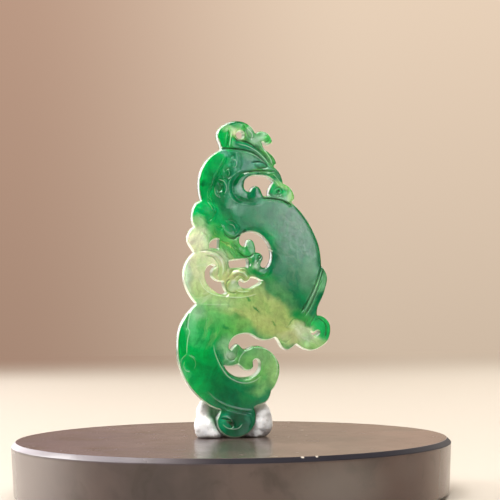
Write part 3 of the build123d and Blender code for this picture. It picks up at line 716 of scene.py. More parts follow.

# the stone's colours, each over the ones before, with painted sheen on some flats and facets and a few
# painted glints:
# colour, place in percent, half sizes in mm, turn in degrees (anticlockwise in front), softness, strength
jadePatches = {
    "body": ((36, 116, 70), (68, 60), (8.5, 11.0), 0, 0.5, 1.0),
    # partly the stone's tone, partly painted sheen that grows towards the right
    "bodyRight": ((66, 120, 82), (84, 62), (4.2, 9.5), 14, 0.7, 0.9),
    "bodySide": ((14, 160, 84), (62.5, 55), (1.8, 5.4), 8, 0.6, 0.9),
    "headBand": ((2, 172, 80), (18.5, 80.5), (2.3, 6.2), 12, 0.4, 1.0),
    "headBandTop": ((2, 190, 88), (25, 87.6), (2.2, 2.6), 40, 0.5, 1.0),
    "mane": ((2, 118, 62), (31.2, 77.2), (2.6, 6.0), 8, 0.5, 1.0),
    "maneSide": ((84, 142, 114), (34.4, 78.6), (0.8, 2.0), 0, 0.7, 0.7),
    # partly the stone's tone, partly painted sheen
    "neck": ((94, 144, 118), (42.6, 72.6), (1.7, 0.8), -8, 0.7, 0.8),
    "neckLeft": ((4, 106, 60), (31.5, 72.0), (1.4, 1.3), 0, 0.7, 0.8),
    "neckTop": ((122, 164, 142), (37.3, 74.1), (1.0, 0.5), -20, 0.6, 0.9),
    # partly the stone's tone, partly painted sheen
    "face": ((76, 138, 110), (48, 86.4), (3.6, 2.0), -15, 0.6, 0.9),
    # partly the stone's tone, partly painted sheen
    "jawFlat": ((96, 142, 120), (40.8, 78.8), (0.9, 1.5), 0, 0.5, 0.9),
    "jawBand": ((6, 104, 58), (41.8, 82.2), (1.7, 0.75), 24, 0.5, 1.0),
    "jawBandSide": ((8, 112, 64), (36.9, 79.0), (0.4, 1.5), 0, 0.6, 0.9),
    "jawBandTurn": ((8, 112, 64), (38.8, 75.9), (0.9, 0.45), -40, 0.6, 0.9),
    "jawBandLow": ((4, 104, 60), (45.0, 74.4), (2.2, 0.5), -2, 0.5, 1.0),
    "neckRight": ((98, 150, 124), (54.4, 73.8), (0.9, 0.5), 0, 0.6, 0.8),
    "beakUnder": ((92, 150, 70), (55.4, 82.8), (2.8, 0.35), -3, 0.6, 0.8),
    "crestLobe": ((2, 166, 78), (30.8, 94.2), (2.3, 2.5), 0, 0.25, 1.0),
    "crestTop": ((112, 184, 90), (41.5, 97.6), (1.6, 0.8), 0, 0.6, 0.9),
    "crestLobeTop": ((146, 200, 136), (33.2, 97.9), (0.9, 0.6), 20, 0.6, 0.9),
    "crestRim": ((72, 170, 82), (45, 98.4), (2.0, 0.8), -14, 0.6, 1.0),
    # partly pale stone, partly painted light by the cord hole
    "crestGlow": ((216, 228, 170), (38.6, 96.5), (1.0, 0.8), 0, 0.7, 0.8),
    "crestUnder": ((150, 196, 100), (41.5, 94.6), (1.3, 0.6), -20, 0.6, 0.8),
    "crestUnderRight": ((140, 196, 120), (47.0, 95.0), (0.8, 0.6), 0, 0.6, 0.8),
    "crestSide": ((156, 194, 156), (48.9, 96.6), (0.6, 1.3), 22, 0.4, 0.9),
    # partly the stone's tone, partly painted sheen
    "hook": ((150, 194, 152), (57.0, 95.0), (1.8, 1.3), 0, 0.4, 0.9),
    "hookLeft": ((84, 158, 92), (52.0, 95.4), (0.8, 0.8), 0, 0.6, 0.9),
    "hookEnd": ((70, 176, 84), (61.0, 93.4), (1.0, 0.9), 0, 0.5, 0.9),
    "hookStem": ((86, 160, 80), (61.4, 89.0), (1.2, 3.0), 35, 0.5, 0.9),
    "beak": ((48, 130, 62), (60, 83.2), (2.6, 0.9), -12, 0.6, 0.8),
    # painted sheen on the flat under the crest
    "brow": ((88, 146, 106), (50.0, 89.1), (3.4, 0.8), -14, 0.6, 0.8),
    "browLeft": ((28, 126, 80), (38.0, 89.7), (0.9, 0.6), 0, 0.7, 0.8),
    # painted sheen on the flats by the crest's foot
    "crestFoot": ((132, 178, 132), (53.4, 92.4), (1.5, 0.6), -24, 0.6, 0.8),
    "crestFootLeftSheen": ((100, 162, 140), (31.6, 89.8), (0.8, 0.45), 0, 0.6, 0.8),
    "bandDark": ((2, 92, 48), (18.0, 80.0), (1.0, 0.35), 0, 0.8, 0.8),
    "bandLow": ((2, 132, 62), (17.2, 76.8), (1.3, 1.1), 0, 0.7, 0.8),
    "chin": ((36, 164, 86), (65.4, 78.2), (2.2, 1.9), 0, 0.5, 0.9),
    "chinTop": ((150, 200, 124), (69, 79.6), (1.3, 0.8), -25, 0.6, 0.8),
    "chinFoot": ((124, 164, 134), (68, 74.4), (2.8, 0.6), -10, 0.7, 0.8),
    "chinTip": ((150, 196, 116), (74.2, 76.0), (1.3, 1.2), -45, 0.6, 0.9),
    "upperBump": ((32, 190, 100), (16.0, 72.0), (2.7, 1.8), 0, 0.4, 1.0),
    "waist": ((24, 150, 76), (24.4, 69.2), (2.9, 2.0), -24, 0.5, 1.0),
    "waistLow": ((30, 150, 70), (28, 64.6), (2.4, 1.2), -20, 0.6, 0.9),
    "waistLeft": ((98, 178, 100), (21.0, 66.0), (1.4, 0.8), -20, 0.7, 0.8),
    "betweenBumps": ((150, 186, 134), (11.6, 67.2), (1.6, 1.5), -15, 0.5, 1.0),
    "lowerBump": ((216, 220, 184), (12.8, 62.0), (2.9, 2.2), -15, 0.45, 1.0),
    "maneTips": ((88, 166, 82), (36.5, 59.8), (4.4, 1.7), -25, 0.6, 1.0),
    "cloudScroll": ((200, 208, 166), (16.0, 52.2), (5.1, 4.9), 0, 0.3, 1.0),
    "cloudScrollFoot": ((172, 198, 132), (15.0, 45.4), (3.2, 1.5), -20, 0.7, 0.8),
    "cloudBand": ((192, 212, 186), (7.0, 51.0), (0.7, 3.8), 0, 0.7, 0.8),
    "centreScrolls": ((190, 192, 128), (39, 50.2), (3.8, 2.6), 0, 0.5, 0.9),
    "lobes": ((44, 150, 76), (48, 56.4), (2.2, 3.4), 0, 0.5, 0.9),
    # painted reflection on the facets of the hook lobe and the lobe
    "hookSheen": ((136, 184, 146), (48, 60.4), (0.6, 1.5), -12, 0.6, 0.9),
    "lobeSheen": ((200, 224, 190), (52.4, 54.0), (1.1, 1.0), 0, 0.6, 1.0),
    "wedge": ((160, 178, 108), (54, 40.8), (10.8, 3.5), -26, 0.4, 1.0),
    "wedgeLeft": ((150, 182, 108), (29, 42.8), (5.6, 1.9), -4, 0.35, 1.0),
    "wedgeLow": ((166, 178, 108), (61, 35.0), (4.8, 1.6), -20, 0.5, 1.0),
    "wedgeMiddle": ((172, 186, 116), (41, 38.8), (4.2, 1.6), -20, 0.6, 0.9),
    "wedgeStart": ((180, 192, 124), (27.5, 40.8), (2.6, 1.0), -8, 0.6, 0.9),
    "wedgeFoot": ((178, 184, 130), (71.6, 30.8), (2.6, 1.4), 0, 0.5, 1.0),
    "wedgeSide": ((168, 194, 140), (24.5, 42.4), (3.4, 1.5), 0, 0.6, 0.9),
    "wedgeGreen": ((100, 166, 82), (36.8, 36.2), (2.2, 1.2), -20, 0.7, 0.8),
    "scrollFoot": ((146, 168, 96), (43, 45.7), (2.0, 0.6), 0, 0.6, 0.8),
    "smallPale": ((170, 188, 148), (36.0, 48.4), (1.1, 1.0), 0, 0.4, 1.0),
    "lowerMiddle": ((94, 168, 82), (33.0, 34.0), (3.8, 2.2), -16, 0.7, 1.0),
    "lowerMiddleRight": ((124, 174, 94), (42.5, 35.4), (1.7, 1.2), -20, 0.7, 0.8),
    "fleckHigh": ((56, 128, 62), (53.1, 40.1), (0.8, 0.2), -38, 0.7, 0.9),
    "fleckLeft": ((66, 138, 68), (46.6, 43.3), (0.6, 0.25), -40, 0.7, 0.8),
    "fleckLow": ((36, 124, 62), (31.0, 34.6), (0.6, 0.3), -20, 0.7, 0.9),
    "fleckSoft": ((90, 158, 80), (37.5, 38.6), (0.8, 0.6), 0, 0.8, 0.8),
    "fleckRight": ((80, 138, 58), (64.2, 36.0), (0.5, 0.18), -30, 0.7, 0.8),
    "fleckEnd": ((84, 132, 58), (75.6, 36.4), (1.3, 0.18), 38, 0.7, 0.8),
    "bodyLow": ((24, 108, 64), (78.4, 50.0), (9.0, 4.6), -35, 0.22, 1.0),
    "bodyLowPale": ((58, 124, 84), (80, 57), (5.4, 3.4), 0, 0.7, 0.8),
    "underLobes": ((10, 132, 58), (54.8, 50.9), (2.9, 0.8), -8, 0.6, 1.0),
    "wedgeEdge": ((92, 148, 86), (67, 46.4), (3.4, 1.0), -35, 0.7, 0.8),
    "wedgeEnd": ((30, 128, 62), (81.5, 38.2), (2.5, 1.0), -32, 0.6, 1.0),
    "bodyLowEnd": ((18, 116, 62), (85.8, 43.0), (2.4, 1.1), -38, 0.6, 0.9),
    # painted sheen at the lower edge of the body's right side
    "bodyRightLowSheen": ((104, 150, 112), (87, 51), (1.2, 3.0), -8, 0.8, 0.7),
    # partly the stone's tone, partly painted sheen
    "wing": ((110, 164, 120), (93.6, 48.0), (0.9, 5.0), -26, 0.6, 0.9),
    "clawPale": ((200, 212, 172), (85.6, 32.2), (2.8, 1.6), -24, 0.6, 0.9),
    "clawRoot": ((66, 142, 66), (84.0, 37), (1.6, 0.9), -30, 0.7, 0.8),
    "clawDip": ((66, 150, 74), (87.6, 35.6), (0.9, 0.8), 0, 0.6, 0.9),
    "clawRim": ((44, 168, 88), (95.4, 35.0), (1.8, 2.3), 20, 0.5, 1.0),
    "clawFoot": ((136, 184, 104), (93.0, 29.6), (1.3, 0.8), 10, 0.7, 0.8),
    "clawLow": ((146, 184, 110), (85.5, 28.8), (2.4, 0.9), 8, 0.6, 0.9),
    "lowerSide": ((2, 164, 72), (10.5, 27.6), (4.3, 8.2), 0, 0.45, 1.0),
    "lowerFlank": ((50, 162, 78), (22.5, 32.6), (2.2, 2.4), 0, 0.7, 0.8),
    "lowerTop": ((112, 182, 104), (20.4, 39.4), (3.6, 2.2), -12, 0.7, 0.9),
    "lowerTopPale": ((152, 198, 154), (12.4, 40.2), (1.4, 1.6), -40, 0.8, 0.9),
    "lowerShoulder": ((112, 192, 134), (8.2, 35.4), (1.1, 2.2), 16, 0.7, 0.8),
    "lowerShoulderIn": ((58, 174, 92), (13.6, 32.4), (1.8, 2.0), 0, 0.7, 0.8),
    "lowerRim": ((104, 190, 130), (6.6, 19.4), (0.8, 2.4), 24, 0.7, 0.9),
    "lowerDeep": ((12, 98, 58), (36, 13.8), (5.0, 2.4), -10, 0.7, 1.0),
    "lowerLeft": ((24, 176, 82), (14.6, 16.0), (1.6, 3.4), 32, 0.7, 0.8),
    "lowerTurn": ((10, 124, 60), (24, 19.5), (3.2, 3.4), 0, 0.7, 0.8),
    "lowTurnFoot": ((2, 116, 64), (27.0, 10.8), (2.4, 1.0), -12, 0.7, 0.9),
    "slotHook": ((132, 182, 130), (35, 27.0), (2.1, 2.4), 0, 0.5, 0.95),
    "slotHookLeft": ((20, 138, 72), (26.6, 24.9), (1.0, 1.7), 0, 0.6, 0.9),
    # painted sheen on a facet of the slot's hook
    "slotFacetSheen": ((184, 200, 178), (34.6, 25.8), (0.9, 0.9), 25, 0.6, 0.9),
    "tail": ((112, 170, 94), (55.6, 23.6), (4.8, 5.0), 0, 0.4, 1.0),
    "tailStreak": ((64, 146, 76), (57.4, 17.6), (0.9, 2.6), -40, 0.7, 0.8),
    "tailEdge": ((150, 190, 120), (63.6, 20.6), (1.6, 3.4), 12, 0.6, 0.8),
    "tailFoot": ((40, 134, 72), (48.5, 13.0), (1.9, 1.3), 20, 0.6, 0.8),
    "tailIn": ((124, 172, 104), (53.6, 15.6), (1.9, 1.2), 20, 0.7, 0.9),
    "tailTop": ((70, 138, 76), (46, 27.4), (2.2, 1.1), 0, 0.7, 0.9),
    "tailPale": ((136, 178, 118), (54.6, 26.2), (2.2, 1.5), 0, 0.7, 0.8),
    "tailLineDark": ((30, 124, 70), (43, 16.6), (2.6, 0.9), -4, 0.7, 0.8),
    "foot": ((2, 86, 52), (37.6, 4.8), (4.4, 2.7), 0, 0.35, 1.0),
    "footLeft": ((38, 146, 98), (29.4, 5.2), (1.1, 1.8), 0, 0.6, 0.9),
    "footPit": ((70, 66, 40), (34.9, 4.6), (0.55, 0.4), 0, 0.6, 0.8),
    "footRight": ((64, 128, 98), (47.6, 6.6), (0.7, 1.2), 0, 0.7, 0.7),
    "footNeck": ((2, 100, 56), (28.0, 9.2), (0.9, 0.6), 0, 0.6, 0.9),
    # painted glints: white highlights at edges of the openings
    "glintCrescent": ((255, 255, 250), (59.8, 58.5), (0.16, 0.22), 20, 0.9, 1.0),
    "glintSlot": ((255, 255, 250), (45.8, 54.5), (0.14, 0.2), 0, 0.9, 1.0),
    "glintSmall": ((255, 255, 250), (53.8, 49.2), (0.18, 0.14), 0, 0.9, 1.0),
    "glintScroll": ((255, 255, 250), (32.0, 45.9), (0.16, 0.2), 0, 0.9, 1.0),
}

# streaks that run along a patch: colour, place, half sizes, turn, share, and how many to a mm
jadeStreaks = {
    "ticks": ((176, 200, 116), (35.0, 59.4), (3.6, 1.5), -42, 0.75, 2.6),
    "ticksDark": ((14, 130, 52), (38, 60.5), (4.2, 2.0), -42, 0.7, 1.9),
    "waist": ((120, 186, 100), (22, 65.6), (3.2, 1.4), -30, 0.4, 1.2),
    "upperBump": ((80, 196, 106), (15, 72), (2.6, 1.8), -28, 0.4, 2.2),
    "wedgeGreen": ((84, 150, 72), (46, 41.8), (8.0, 2.4), -30, 0.55, 0.7),
    "wedgeFlecks": ((70, 142, 66), (44, 39.8), (7.0, 2.6), -30, 0.24, 2.2),
    "wedgePale": ((190, 198, 132), (60, 36.0), (5.0, 1.8), -24, 0.25, 1.1),
    "claw": ((226, 230, 206), (82.4, 32.6), (3.0, 1.3), -30, 0.5, 1.3),
    "body": ((16, 104, 60), (66, 56), (7.0, 9.0), -48, 0.35, 0.9),
    "bodyPale": ((110, 158, 112), (70, 60), (7.0, 9.0), -40, 0.3, 1.4),
    "scroll": ((226, 232, 206), (12, 52), (2.6, 5.0), 20, 0.6, 0.8),
    "scrollGreen": ((128, 182, 104), (17, 50), (4.6, 4.6), 64, 0.4, 1.3),
    "lowerTop": ((158, 198, 120), (26, 37), (4.6, 3.0), 70, 0.4, 1.0),
    "lowerDark": ((8, 110, 52), (22, 26), (5.0, 6.0), 62, 0.4, 0.9),
    "tail": ((60, 138, 70), (54, 18), (4.6, 4.4), -52, 0.5, 0.9),
    "headBand": ((2, 96, 50), (17, 79), (1.8, 4.0), 72, 0.3, 0.9),
    "crest": ((40, 150, 70), (43, 96.6), (2.6, 1.6), 30, 0.5, 1.6),
}


def platePatch(tree, group, coords, place, half, turn, softness, strength):  # placed in percent
    x, z = at(*place) * mm
    half = (half[0] * mm, 1, half[1] * mm)
    return softPatch(tree, group, coords, (x, 0, z), half, turn, softness, strength)


def jadeColour(tree, group, coords):  # patches, then clouds and fibres, then streaks
    look = jadeLook
    flat = vectorMaths(tree, "MULTIPLY", coords, (1, look["throughShare"], 1))
    drifts = []
    for scale, detail, roughness, reach in look["drifts"]:
        drift = noiseAt(tree, flat, scale, detail, roughness, 1)
        drift = vectorMaths(tree, "SUBTRACT", drift, (0.5, 0.5, 0.5))
        drifts.append(vectorMaths(tree, "MULTIPLY", drift, (reach * mm,) * 3))
    warped = vectorMaths(tree, "ADD", coords, vectorMaths(tree, "ADD", *drifts))
    warped = vectorMaths(tree, "MULTIPLY", warped, (1, 0, 1))
    colour = look["base"]
    for spot, place, half, turn, softness, strength in jadePatches.values():
        mask = platePatch(tree, group, warped, place, half, turn, softness, strength)
        colour = mixed(tree, mask, colour, spot)
    cloud = noiseAt(tree, warped, *look["cloudNoise"])
    leaning = vectorMaths(tree, "MULTIPLY", warped, (1, 1, look["fibreStretch"]))
    fibre = noiseAt(tree, leaning, *look["fibreNoise"])
    ofCloud, ofFibre = look["cloudMix"]
    cloud = maths(tree, "ADD", times(tree, cloud, ofCloud), times(tree, fibre, ofFibre))
    light = ranged(tree, cloud, *look["cloudRange"], 1 - look["cloudiness"], 1 + look["cloudiness"])
    colour = scaled(tree, colour, light)
    colour = vectorMaths(tree, "SUBTRACT", colour, (look["redHeld"], 0, 0))
    colour = vectorMaths(tree, "MAXIMUM", colour, (0.001, 0.001, 0.001))
    scale, detail, roughness = look["streakNoise"]
    for k, (spot, place, half, turn, share, many) in enumerate(jadeStreaks.values()):
        mask = platePatch(tree, group, warped, place, half, turn, look["streakSoftness"], share)
        along = rotated(tree, warped, math.radians(turn))
        along = vectorMaths(tree, "MULTIPLY", along, (look["streakStretch"], 1, 1))
        along = vectorMaths(tree, "ADD", along, (k * 0.013, k * 0.007, 0))  # so that no two are alike
        streak = noiseAt(tree, along, many * scale, detail, roughness)
        streak = ranged(tree, streak, *look["streakRange"])
        colour = mixed(tree, times(tree, mask, streak), colour, spot)
    return colour


def carvedShadeAndHighlight(tree, colour, cut):  # painted shade in the cuts, painted highlight on the raised lines
    look = jadeLook
    groove = mixed(tree, 1.0, colour, look["grooveShadeTint"], "MULTIPLY")
    colour = mixed(tree, ranged(tree, cut, *look["grooveShadeDepths"], 0.0, look["grooveShadeShare"]), colour, groove)
    pale = mixed(tree, 0.5, colour, look["beadHighlight"])
    raised = ranged(tree, noted(tree, "beadHeight"), 0.0, look["beadHeight"], 0.0, look["beadHighlightShare"])
    return mixed(tree, raised, colour, pale)


def edgeLightAndShade(tree, coords, colour):  # painted light and shade on the thin edges, by the way that they face; also a painted glow from the lower edges
    look = jadeLook
    edge = noted(tree, "edgeDistance")
    thin = ranged(tree, edge, look["rimWidth"], 0.0)
    facing = axes(tree, addNode(tree, "ShaderNodeNewGeometry")["Normal"])
    left = ranged(tree, facing["X"], *look["facesLeft"])
    upLeft = ranged(tree, facing["X"], *look["facesSideways"])
    upLeft = times(tree, upLeft, ranged(tree, facing["Z"], *look["facesUp"]))
    # painted shadow of the putty on the lower edges near the stand
    footLow, footHigh = (standTop + rise * mm for rise in look["footShadow"])
    above = ranged(tree, axes(tree, coords)["Z"], footLow, footHigh, look["footShadowLeast"], 1.0)
    down = times(tree, ranged(tree, facing["Z"], *look["facesDown"]), above)
    red = addNode(tree, "ShaderNodeSeparateColor", {}, {"Color": colour})[0]
    lightSide = maths(tree, "MAXIMUM", maths(tree, "MAXIMUM", left, down), upLeft)
    shade = times(tree, thin, maths(tree, "SUBTRACT", 1.0, lightSide))
    shade = times(tree, shade, ranged(tree, red, *look["redOfShade"]))
    # painted shade on thin edges that face right or up
    colour = mixed(tree, shade, colour, look["rimShade"], "MULTIPLY")
    lit = maths(tree, "MAXIMUM", times(tree, left, look["rimLeftLight"]), times(tree, down, look["rimDownLight"]))
    wall = times(tree, left, thin)
    green, pale = ranged(tree, red, *look["redOfGreen"]), ranged(tree, red, *look["redOfPale"])
    top = ranged(tree, edge, look["rimTopWidth"], 0.0, 0.0, look["rimTopHighlightShare"])
    # painted light on edges and walls that face left or down, painted highlight on edges that face up and
    # left
    for share, paint in (
        (times(tree, lit, thin), "rimPaintedLight"),
        (times(tree, times(tree, wall, green), look["wallLitShare"]), "wallLitGrey"),
        (times(tree, times(tree, wall, pale), look["wallLitPaleShare"]), "wallLitPale"),
        (times(tree, upLeft, top), "rimTopHighlight"),
    ):
        colour = mixed(tree, share, colour, look[paint])
    # painted glow: emission from thin edges that face down
    paintedGlow = times(tree, times(tree, down, thin), look["rimGlow"])
    paintedGlow = times(tree, paintedGlow, ranged(tree, red, *look["redOfGlow"], look["greenGlow"], 1.0))
    return colour, mixed(tree, paintedGlow, (0, 0, 0), look["rimPaintedLight"])


def jadeMaterial(group):
    look = jadeLook
    material, tree, shader = newMaterial("jade")
    coords = objectCoords(tree)
    cut = noted(tree, "cutDepth")
    colour = carvedShadeAndHighlight(tree, jadeColour(tree, group, coords), cut)
    colour, paintedGlow = edgeLightAndShade(tree, coords, colour)
    grain = noiseAt(tree, coords, *look["grainNoise"])
    smooth, dull = (look["polish"] + spread for spread in look["polishSpread"])
    rough = ranged(tree, grain, *look["grainRange"], smooth, dull)
    rough = maths(tree, "ADD", rough, times(tree, noted(tree, "sawn"), look["sawnRough"]))
    rough = maths(tree, "ADD", rough, ranged(tree, cut, *look["dullDepths"], 0.0, look["cutRough"]))
    sand = noiseAt(tree, coords, *look["sandNoise"])
    strength, height = look["grainBump"]
    setSockets(tree, shader, {
        "Base Color": colour,
        "Roughness": rough,
        "Specular IOR Level": ranged(tree, sand, *look["grainRange"], *look["shine"]),
        "Normal": bumped(tree, grain, strength, height * mm),
        # painted glow from the lower edges
        "Emission Color": paintedGlow,
        "Emission Strength": 1.0,
        "IOR": look["refraction"],
        "Subsurface Weight": look["glow"],
        "Subsurface Radius": look["glowReach"],
        "Subsurface Scale": mm,
    })
    return material


standLook = {
    "dark": (60, 49, 42),
    "pale": (90, 74, 66),
    "coolReflection": (78, 68, 82),          # painted cool reflection towards the left
    "warmReflection": (94, 62, 52),          # painted warm reflection towards the right
    "mottle": (50, 40, 32),
    "swirlNoise": (60, 3.0, 0.6),  # scale, detail, roughness
    "swirlReach": 20.0,            # mm
    "cloudNoise": (40, 4.0, 0.55),
    "mottleNoise": (120, 4.0, 0.6),
    "grainNoise": (260, 4.0, 0.65),
    "cloudRange": (0.36, 0.64),
    "mottleRange": (0.48, 0.66, 0.0, 0.5),
    "coolAcross": (12, -30, 0.6),  # from and to mm across, and share
    "coolTop": 0.25,               # what is left of it below the top's edge
    "warmAcross": (4, 36, 0.6),
    "sideUnder": (0.7, 1.4),       # mm under the top where the side's own colours begin
    "darkUnder": (0.4, 1.2),
    "dullUnder": (0.05, 0.6),
    "bevelUnder": (0.95, 0.8),
    "bevelBlur": 0.1,              # mm
    "bevelShadeAcross": (-22, -4),
    "bevelHighlightAcross": (-12, -30, 0.6),
    "refraction": 1.52,
    "polish": 0.25,                # roughness
    "polishSpread": (-0.02, 0.03),
    "sidePolish": 0.22,
    "sideShare": 0.8,              # the side is darker than the top
    # painted shade on the bevel towards the right
    "bevelShade": (38, 36, 42),
    "bevelRough": 0.4,
    "bevelShine": 0.06,            # what is left of its shine at the right
    # painted highlight on the bevel towards the left
    "bevelLeftHighlight": (150, 147, 152),
    "turned": (("farLeftReflection", -25, -38, 0.8), ("farRightReflection", 27, 39, 0.5)),  # from and to mm across, and share
    "farLeftReflection": (146, 134, 130),    # painted reflection where the side turns away
    "farRightReflection": (150, 116, 90),
    # painted light: lighter grey spots on the front of the side
    "sideLightGrey": (112, 104, 98),
    "sideLightSpots": ((14.0, -37.4, 5.0, 7.5, 0.6), (26.0, -30.5, 7.5, 3.5, 0.1)),  # place, radius in mm, share
    "speck": (214, 204, 190),
    "specks": ((15.4, 14.0, 0.30), (-13.4, 18.0, 0.22), (3.4, -6.4, 0.20), (30.0, 6.0, 0.2),
               (6.8, -38.7, 0.30), (9.3, -38.2, 0.26)),  # place and radius in mm
}


def standMaterial(group):
    look = standLook
    material, tree, shader = newMaterial("standStone")
    coords = objectCoords(tree)
    parts = axes(tree, coords)

    def across(near, far, share=1.0):  # from none to a share, between two distances in mm
        return ranged(tree, parts["X"], near * mm, far * mm, 0.0, share)

    def below(near, far, newLow=0.0, newHigh=1.0):  # the same, in mm under the top
        return ranged(tree, parts["Z"], standTop - near * mm, standTop - far * mm, newLow, newHigh)

    swirl = noiseAt(tree, coords, *look["swirlNoise"], output=1)
    swirl = vectorMaths(tree, "MULTIPLY", swirl, (look["swirlReach"] * mm,) * 3)
    moved = vectorMaths(tree, "ADD", coords, swirl)
    cloud = ranged(tree, noiseAt(tree, moved, *look["cloudNoise"]), *look["cloudRange"])
    colour = mixed(tree, cloud, look["dark"], look["pale"])
    low = below(*look["sideUnder"])
    # painted cool reflection on the left, painted warm reflection on the right
    coolReflection = times(tree, ranged(tree, low, 1.0, 0.0, look["coolTop"], 1.0), across(*look["coolAcross"]))
    colour = mixed(tree, coolReflection, colour, look["coolReflection"])
    colour = mixed(tree, across(*look["warmAcross"]), colour, look["warmReflection"])
    blots = ranged(tree, noiseAt(tree, moved, *look["mottleNoise"]), *look["mottleRange"])
    colour = mixed(tree, blots, colour, look["mottle"])
    # painted reflection where the side turns away
    for paint, near, far, share in look["turned"]:
        colour = mixed(tree, times(tree, low, across(near, far, share)), colour, look[paint])
    colour = scaled(tree, colour, below(*look["darkUnder"], 1.0, look["sideShare"]))
    # painted light: lighter grey spots on the front of the side
    for x, y, z, radius, share in look["sideLightSpots"]:
        half = (radius * mm, radius * mm, 0.6 * radius * mm)
        mask = softPatch(tree, group, coords, (x * mm, y * mm, z * mm), half, 0, 0.8, share)
        colour = mixed(tree, times(tree, mask, low), colour, look["sideLightGrey"])
    out = vectorMaths(tree, "LENGTH", vectorMaths(tree, "MULTIPLY", coords, (1, 1, 0)))
    inner = standSizes["Radius"] - standSizes["Top Bevel"]
    blur = look["bevelBlur"] * mm
    # the bevel's ring: painted shade on its right part, a painted highlight on its left part
    bevelShade = times(tree, ranged(tree, out, inner - blur, inner + blur), below(*look["bevelUnder"]))
    pale = times(tree, bevelShade, across(*look["bevelHighlightAcross"]))
    bevelShade = times(tree, bevelShade, across(*look["bevelShadeAcross"]))
    colour = mixed(tree, bevelShade, colour, look["bevelShade"])
    colour = mixed(tree, pale, colour, look["bevelLeftHighlight"])
    for x, y, radius in look["specks"]:
        mask = softPatch(tree, group, coords, (x * mm, y * mm, standTop), (radius * mm,) * 3, 0, 0.3, 0.8)
        colour = mixed(tree, mask, colour, look["speck"])
    grain = noiseAt(tree, coords, *look["grainNoise"])
    smooth, dull = (look["polish"] + spread for spread in look["polishSpread"])
    rough = ranged(tree, grain, 0.2, 0.8, smooth, dull)
    belt = times(tree, below(*look["dullUnder"]), look["sidePolish"] - look["polish"])
    rough = maths(tree, "ADD", maths(tree, "ADD", rough, belt), times(tree, bevelShade, look["bevelRough"]))
    setSockets(tree, shader, {
        "Base Color": colour,
        "Roughness": rough,
        "Specular IOR Level": ranged(tree, bevelShade, 0.0, 1.0, 0.5, look["bevelShine"]),
        "IOR": look["refraction"],
    })
    return material


puttyLook = {
    "white": (238, 237, 236),
    "grime": (104, 93, 84),
    "darkGreyHeight": 1.0,            # mm above the stand, up to which the putty is darker
    "darkGreyRun": 0.8,               # mm over which it comes in
    "grimeShare": 0.85,
    # painted shade in creases
    "creaseShade": (150, 146, 142),
    "creaseShadeShare": 0.4,
    "creaseRange": (0.52, 0.66),
    "spots": ((52.5, 6.5, 0.35, 0.5), (51.2, 2.8, 0.45, 0.5), (14.0, 2.4, 0.4, 0.4), (59, 5.5, 0.6, 0.25),
              (56, 2.2, 0.8, 0.3)),  # percent, percent, mm, share
    "shaded": (60, 150, 92),       # painted shadow of the foot, tinted green by light from the jade
    "shadedSpots": ((24.4, 9.6, 1.1, 0.9), (23.4, 7.4, 1.0, 0.9), (24.8, 5.4, 0.9, 0.9),
                    (26.0, 3.2, 0.8, 0.6)),
    "blotchNoise": (700, 4.0, 0.65),
    "creaseNoise": (1100, 5.0, 0.75),
    "pressedNoise": (900, 5.0, 0.7),
}


def puttyMaterial(group):
    look = puttyLook
    material, tree, shader = newMaterial("puttyWhite")
    coords = objectCoords(tree)
    blotch = noiseAt(tree, coords, *look["blotchNoise"])
    # darker towards the stand, up to a noisy edge
    top = maths(tree, "MULTIPLY_ADD", blotch, 2.2 * look["darkGreyHeight"] * mm, standTop - 0.3 * mm)
    low = maths(tree, "SUBTRACT", top, axes(tree, coords)["Z"])
    grime = ranged(tree, low, 0.0, look["darkGreyRun"] * mm, 0.0, look["grimeShare"])
    colour = mixed(tree, grime, look["white"], look["grime"])
    for spots, paint in (("spots", "grime"), ("shadedSpots", "shaded")):
        for across, up, radius, share in look[spots]:
            x, z = at(across, up) * mm
            half = (radius * mm, 2.2 * mm, radius * mm)
            mask = softPatch(tree, group, coords, (x, 1.5 * mm, z), half, 0, 0.6, share)
            colour = mixed(tree, mask, colour, look[paint])
    # painted shade in creases
    creaseShade = noiseAt(tree, coords, *look["creaseNoise"])
    creaseShade = ranged(tree, creaseShade, *look["creaseRange"], 0.0, look["creaseShadeShare"])
    pressed = noiseAt(tree, coords, *look["pressedNoise"])
    setSockets(tree, shader, {
        "Base Color": mixed(tree, creaseShade, colour, look["creaseShade"]),
        "Normal": bumped(tree, pressed, 0.5, 0.25 * mm),
        "Roughness": 0.55,
        "Subsurface Weight": 0.3,
        "Subsurface Radius": (0.5, 0.45, 0.4),
        "Subsurface Scale": mm,
    })
    return material


# stand: a profile swept round a circle by Geometry Nodes
standSizes = {
    "Radius": (standHigh.x - standLow.x) / 2,
    "Height": standHigh.z - standLow.z,
    "Side Taper": 0.4 * mm,        # how much smaller the radius is at the base
    "Top Bevel": 0.8 * mm,
    "Base Bevel": 0.9 * mm,
    "Edge Rounding": 0.16 * mm,
    "Sides": 256,
}


